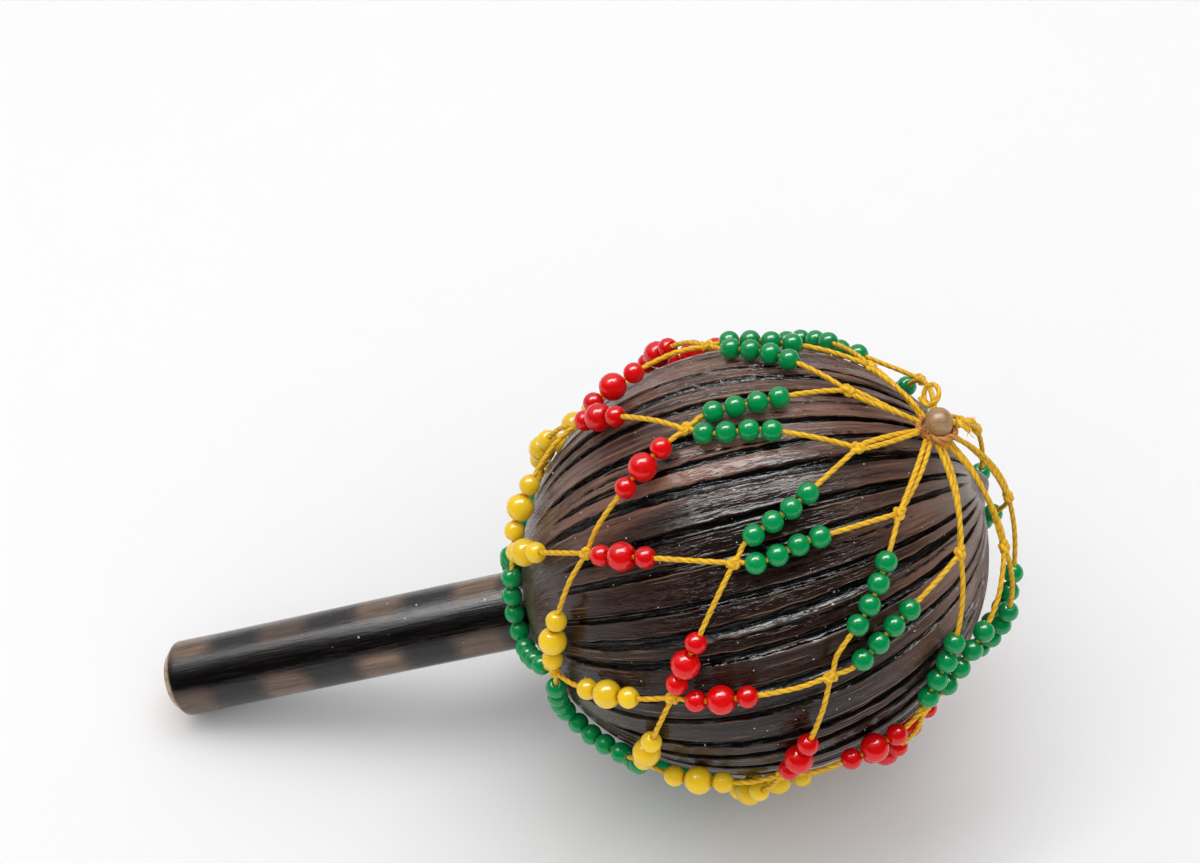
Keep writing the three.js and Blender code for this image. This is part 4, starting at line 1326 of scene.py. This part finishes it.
def cord_material(name, light, dark):
    """Twisted waxed cord: fine fibres along each ply and shade between the plies."""
    material, wiring, shader = new_material(name)
    along = wiring.attribute("along")
    round_part = wiring.attribute("round")
    lobe = wiring.math("ABSOLUTE", wiring.math("COSINE", wiring.math("MULTIPLY", round_part, 2 * math.pi)))
    place_on = wiring.add("ShaderNodeTexCoord").outputs["Object"]
    across = wiring.math("MULTIPLY", round_part, 30.0)
    slant = wiring.math("MULTIPLY_ADD", along, 1400.0, across)
    lengthwise = wiring.math("MULTIPLY", along, 120.0)
    fibre_place = wiring.add("ShaderNodeCombineXYZ", {0: slant, 1: lengthwise}).outputs[0]
    fibres = wiring.noise(fibre_place, scale=1.0, detail=3.0, roughness=0.6)
    stains = wiring.noise(place_on, scale=130.0, detail=3.0, roughness=0.6)
    # The dark tone is painted shade between the plies, with real fibre streaks and stains laid over it.
    body = wiring.layered(
        solid(dark),
        (wiring.between(lobe, 0.05, 0.75), solid(light)),
        (wiring.between(fibres, 0.5, 0.75, 0.0, 0.4), solid(dark)),
        (wiring.between(stains, 0.5, 0.75, 0.0, 0.35), solid(dark)),
    )
    height = wiring.math("MULTIPLY_ADD", fibres, 0.5, lobe)
    roughness = wiring.between(fibres, 0.2, 0.8, 0.45, 0.75)
    sheen = {"Sheen_Weight": 0.06, "Sheen_Roughness": 0.5}
    finish(wiring, shader, height, depth=0.00015, strength=0.6, Base_Color=body, Roughness=roughness, **sheen)
    return material


def wooden_bead_material(crown, axis):
    """Turned wood with its grain along the hole."""
    material, wiring, shader = new_material("turned_wood")
    place_on = wiring.add("ShaderNodeTexCoord").outputs["Object"]
    along = Vector(axis @ SHELL_FRAME.T).to_track_quat("X", "Z").inverted().to_euler()
    mapping = {"Vector": place_on, "Rotation": along}
    turned = wiring.add("ShaderNodeMapping", mapping).outputs[0]
    tones = {"Vector": turned, "Light": solid(crown.wood), "Dark": solid(crown.wood_dark)}
    wood = wiring.group(wood_group(), tones)
    handled = wiring.noise(place_on, scale=260.0, detail=3.0, roughness=0.6)
    roughness = wiring.between(handled, 0.3, 0.7, 0.3, 0.5)
    finish(wiring, shader, wood["Height"], depth=0.00008, strength=0.5, Base_Color=wood["Colour"], Roughness=roughness)
    return material


def made_once(build, name, *tones):
    """A material that several pieces share."""
    return bpy.data.materials.get(name) or build(name, *tones)


def net_materials(net):
    """The cord and the three kinds of beads."""
    return {
        "cord": made_once(cord_material, "waxed_cord", net.cord, net.cord_dark),
        "green_beads": made_once(bead_material, "green_plastic", net.green),
        "red_beads": made_once(bead_material, "red_plastic", net.red),
        "yellow_beads": made_once(bead_material, "yellow_plastic", net.yellow),
    }


# Stage


FLOOR_HALF = 4.0
KEY_PLACE = (-0.13, 0.27, 1.24)
KEY_SIZE = (1.85, 0.12)
FILL_FROM = (0.1, -0.35, 0.93)
FILL_EDGES = (-0.3, 0.9)  # between which the sky goes from dim to bright
FILL_SHARES = (0.7, 1.3)  # of the sky's strength
WINDOW_FROM = (-0.25, 0.5, 0.83)
WINDOW_EDGES = (0.3, 0.95)
WINDOW_STRENGTHS = (0.04, 1.0)
# Middle, outer edge and inner edge of the mirrored softbox, for a height of 1 above what mirrors it.
SOFTBOX_LENGTHWISE = (-0.2, 0.85, 0.3)
SOFTBOX_ACROSS = (0.22, 0.3, 0.14)
SOFTBOX_STRENGTH = 13.0
LOWEST_UP = 0.05


def floor_material(stage):
    """Plain pale matt floor."""
    material, wiring, shader = new_material("pale_floor")
    place_on = wiring.add("ShaderNodeTexCoord").outputs["Object"]
    grain = wiring.noise(place_on, scale=900.0)
    roughness = wiring.between(grain, 0.3, 0.7, 0.6, 0.75)
    finish(wiring, shader, grain, depth=0.00002, strength=0.2, Base_Color=solid(stage.floor), Roughness=roughness)
    return material


def add_softbox(context, name, power, position, size):
    """A rectangular soft light that faces the shell."""
    light = bpy.data.lights.new(name, "AREA")
    light.energy = power
    light.shape = "RECTANGLE"
    light.size, light.size_y = size
    lamp = bpy.data.objects.new(name, light)
    lamp.location = position
    aim = Vector(SHELL_CENTRE) - Vector(position)
    lamp.rotation_euler = aim.to_track_quat("-Z", "Y").to_euler()
    context.scene.collection.objects.link(lamp)


def light_the_sky(scene, stage):
    """White light from all round. The camera sees plain white, and gloss mirrors a window and a softbox."""
    world = bpy.data.worlds.new("white_room")
    world.use_nodes = True
    scene.world = world
    wiring = Wiring(world.node_tree)
    path = wiring.add("ShaderNodeLightPath").outputs
    direction = wiring.add("ShaderNodeTexCoord").outputs["Generated"]
    window, fill = (
        wiring.add("ShaderNodeVectorMath", {0: direction, 1: middle}, operation="DOT_PRODUCT").outputs["Value"]
        for middle in (WINDOW_FROM, FILL_FROM)
    )
    dim, bright = (part * stage.sky for part in FILL_SHARES)
    diffuse = wiring.between(fill, *FILL_EDGES, dim, bright)
    mirrored = wiring.between(window, *WINDOW_EDGES, *WINDOW_STRENGTHS)
    mirrored = wiring.math("MULTIPLY_ADD", softbox_mask(wiring, direction), SOFTBOX_STRENGTH, mirrored)
    glossy = path["Is Glossy Ray"]
    strength = wiring.math("MULTIPLY", diffuse, wiring.math("SUBTRACT", 1.0, glossy))
    strength = wiring.math("MULTIPLY_ADD", mirrored, glossy, strength)
    seen = wiring.math("MAXIMUM", path["Is Camera Ray"], path["Is Transmission Ray"])
    strength = wiring.math("MAXIMUM", seen, strength)
    wiring.feed(world.node_tree.nodes["Background"], {"Color": (1.0, 1.0, 1.0, 1.0), "Strength": strength})


def softbox_mask(wiring, direction):
    """1 where a direction meets a long softbox overhead, and 0 beside it."""
    x, y, up = wiring.add("ShaderNodeSeparateXYZ", {0: direction}).outputs
    up = wiring.math("MAXIMUM", up, LOWEST_UP)
    masks = []
    for level, (middle, outside, inside) in ((x, SOFTBOX_LENGTHWISE), (y, SOFTBOX_ACROSS)):
        off = wiring.math("ABSOLUTE", wiring.math("SUBTRACT", wiring.math("DIVIDE", level, up), middle))
        masks.append(wiring.between(off, outside, inside))
    return wiring.math("MULTIPLY", *masks)


def add_camera(context, stage):
    """A camera at the photograph's place, in front of the instrument and above it."""
    camera = bpy.data.objects.new("camera", bpy.data.cameras.new("camera"))
    level = math.cos(stage.above)
    back = Vector((math.sin(stage.aside) * level, -math.cos(stage.aside) * level, math.sin(stage.above)))
    camera.location = Vector(SHELL_CENTRE) + back * stage.distance
    camera.rotation_euler = Euler((math.pi / 2 - stage.look_down, 0, 0))
    camera.data.sensor_width = 36.0
    camera.data.lens = stage.lens
    camera.data.clip_start = 0.01
    context.scene.collection.objects.link(camera)
    context.scene.camera = camera


# Operators


# First seeds of the groups of strung pieces. Those of the vees start at 0.
HEM_SEED = 200
CROWN_CORD_SEED = 300
CROWN_SEED = 400


class CABASA_OT_shell(bpy.types.Operator):
    """Build the carved coconut shell"""

    bl_idname = "cabasa.shell"
    bl_label = "Shell"

    def execute(self, context):
        shell = context.scene.cabasa_shell
        mesh = shell_mesh(shell, context.scene.cabasa_handle)
        mesh.materials.append(shell_material(shell))
        place("carved_shell", mesh, FIXED_BODY, ["shell"])
        return {"FINISHED"}


class CABASA_OT_handle(bpy.types.Operator):
    """Build the scorched handle"""

    bl_idname = "cabasa.handle"
    bl_label = "Handle"

    def execute(self, context):
        handle = context.scene.cabasa_handle
        shell = context.scene.cabasa_shell
        mesh = handle_mesh(handle, shell)
        mesh.materials.append(handle_material(handle, shell))
        place("scorched_handle", mesh, FIXED_BODY, ["handle"])
        return {"FINISHED"}


class CABASA_OT_vees(bpy.types.Operator):
    """String the three rows of vees"""

    bl_idname = "cabasa.vees"
    bl_label = "Vees"

    def execute(self, context):
        form = NetForm(context.scene)
        net = form.net
        finishes = net_materials(net)
        small, large = net.small_bead, net.large_bead
        rows = [
            ("green", net.first_knots, net.second_knots, 0.5, [small] * net.green_beads),
            ("red", net.second_knots, net.third_knots, 0.0, [small, large, small]),
            ("yellow", net.third_knots, net.fourth_knots, 0.5, [small, large, small]),
        ]
        for row, (tint, head, foot, shift, radii) in enumerate(rows):
            slot = f"{tint}_beads"
            for column in range(net.columns):
                string = 2 * (row * net.columns + column)
                turn = net.turn + form.column_step * (column + shift)
                node = f"{tint}_vee_{column + 1}"
                skeleton = vee_skeleton(form, foot, turn, head, radii, slides_of(net, node, string))
                mesh = strung_mesh(node, skeleton, net, string, finishes["cord"], finishes[slot])
                place(f"strung_{node}", mesh, NET_BODY, [node])
        return {"FINISHED"}


class CABASA_OT_hem(bpy.types.Operator):
    """String the scallops of the hem"""

    bl_idname = "cabasa.hem"
    bl_label = "Hem"

    def execute(self, context):
        form = NetForm(context.scene)
        net = form.net
        finishes = net_materials(net)
        for column in range(net.columns):
            skeleton = scallop_skeleton(form, net.turn + form.column_step * (column + 0.5))
            node = f"hem_scallop_{column + 1}"
            mesh = strung_mesh(node, skeleton, net, HEM_SEED + column, finishes["cord"], finishes["green_beads"])
            place(f"strung_{node}", mesh, NET_BODY, [node])
        return {"FINISHED"}


class CABASA_OT_crown_cords(bpy.types.Operator):
    """Tie the doubled cords from the crown to the first ring of knots"""

    bl_idname = "cabasa.crown_cords"
    bl_label = "Crown cords"

    def execute(self, context):
        form = NetForm(context.scene)
        net = form.net
        cord = net_materials(net)["cord"]
        for column in range(net.columns):
            turn = net.turn + form.column_step * column
            skeleton = crown_cord_skeleton(form, context.scene.cabasa_crown, turn)
            node = f"crown_cord_{column + 1}"
            mesh = strung_mesh(node, skeleton, net, CROWN_CORD_SEED + column, cord, cord)
            place(f"tied_{node}", mesh, NET_BODY, [node])
        return {"FINISHED"}


class CABASA_OT_crown(bpy.types.Operator):
    """Make the ring of cord, the wooden bead, its knotted cord and the small loop"""

    bl_idname = "cabasa.crown"
    bl_label = "Crown"

    def execute(self, context):
        form = NetForm(context.scene)
        net, crown = form.net, context.scene.cabasa_crown
        cord = net_materials(net)["cord"]
        worn_cord = cord_material("worn_cord", crown.worn_cord, crown.worn_cord_shade_and_stain)
        middle = form.over_shell(form.crown, form.height)
        seat = crown.bead_radius + net.contact_gap + crown.ring_cord
        bead_middle = middle + form.crown * math.sqrt(seat**2 - crown.ring_radius**2)
        lean = crown.lean
        bead_axis = form.crown * math.cos(lean) + np.cross(form.sideways, form.crown) * math.sin(lean)

        mesh = turned_bead_mesh(crown, bead_middle, bead_axis)
        mesh.materials.append(wooden_bead_material(crown, bead_axis))
        place("turned_pole_bead", mesh, NET_BODY, ["pole_bead"])
        pieces = {
            "crown_ring": (ring_skeleton(form, crown, middle, bead_middle), worn_cord),
            "bead_knot": (end_knot_skeleton(net, crown, bead_middle, bead_axis), cord),
            "crown_loop": (loop_skeleton(form, crown, middle), cord),
        }
        for seed, (node, (skeleton, fibre)) in enumerate(pieces.items()):
            mesh = strung_mesh(node, skeleton, net, CROWN_SEED + seed, fibre, fibre)
            place(f"tied_{node}", mesh, NET_BODY, [node])
        return {"FINISHED"}


class CABASA_OT_stage(bpy.types.Operator):
    """Set the floor, the lights and the camera"""

    bl_idname = "cabasa.stage"
    bl_label = "Stage"

    def execute(self, context):
        stage = context.scene.cabasa_stage
        floor = bpy.data.meshes.new("floor")
        corners = [(x * FLOOR_HALF, y * FLOOR_HALF, 0) for x, y in ((-1, -1), (1, -1), (1, 1), (-1, 1))]
        floor.from_pydata(corners, [], [(0, 1, 2, 3)])
        floor.materials.append(floor_material(stage))
        table = bpy.data.objects.new("floor", floor)
        context.scene.collection.objects.link(table)
        add_softbox(context, "key", stage.key_power, KEY_PLACE, KEY_SIZE)
        light_the_sky(context.scene, stage)
        add_camera(context, stage)
        context.scene.view_settings.view_transform = "Standard"
        return {"FINISHED"}


class CABASA_PT_panel(bpy.types.Panel):
    """Lists the pieces of the cabasa and their settings"""

    bl_idname = "CABASA_PT_panel"
    bl_label = "Cabasa"
    bl_space_type = "VIEW_3D"
    bl_region_type = "UI"
    bl_category = "Cabasa"

    def draw(self, context):
        for operator in OPERATORS:
            self.layout.operator(operator.bl_idname)
        for key, group in SETTINGS.items():
            box = self.layout.box()
            box.label(text=group.__doc__)
            for name in group.__annotations__:
                box.prop(getattr(context.scene, key), name)


SETTINGS = {
    "cabasa_shell": ShellSettings,
    "cabasa_handle": HandleSettings,
    "cabasa_net": NetSettings,
    "cabasa_crown": CrownSettings,
    "cabasa_stage": StageSettings,
}
OPERATORS = [
    CABASA_OT_shell,
    CABASA_OT_handle,
    CABASA_OT_crown_cords,
    CABASA_OT_vees,
    CABASA_OT_hem,
    CABASA_OT_crown,
    CABASA_OT_stage,
]


def register():
    """Adds the settings, the operators and the panel to Blender."""
    for made in (*SETTINGS.values(), *OPERATORS, CABASA_PT_panel):
        bpy.utils.register_class(made)
    for key, group in SETTINGS.items():
        setattr(bpy.types.Scene, key, PointerProperty(type=group))


def unregister():
    """Takes them out again."""
    for key in SETTINGS:
        delattr(bpy.types.Scene, key)
    for made in reversed((*SETTINGS.values(), *OPERATORS, CABASA_PT_panel)):
        bpy.utils.unregister_class(made)


def main():
    """Builds the cabasa piece by piece."""
    register()
    for operator in OPERATORS:
        getattr(bpy.ops.cabasa, operator.bl_idname.split(".")[1])()


if __name__ == "__main__":
    main()
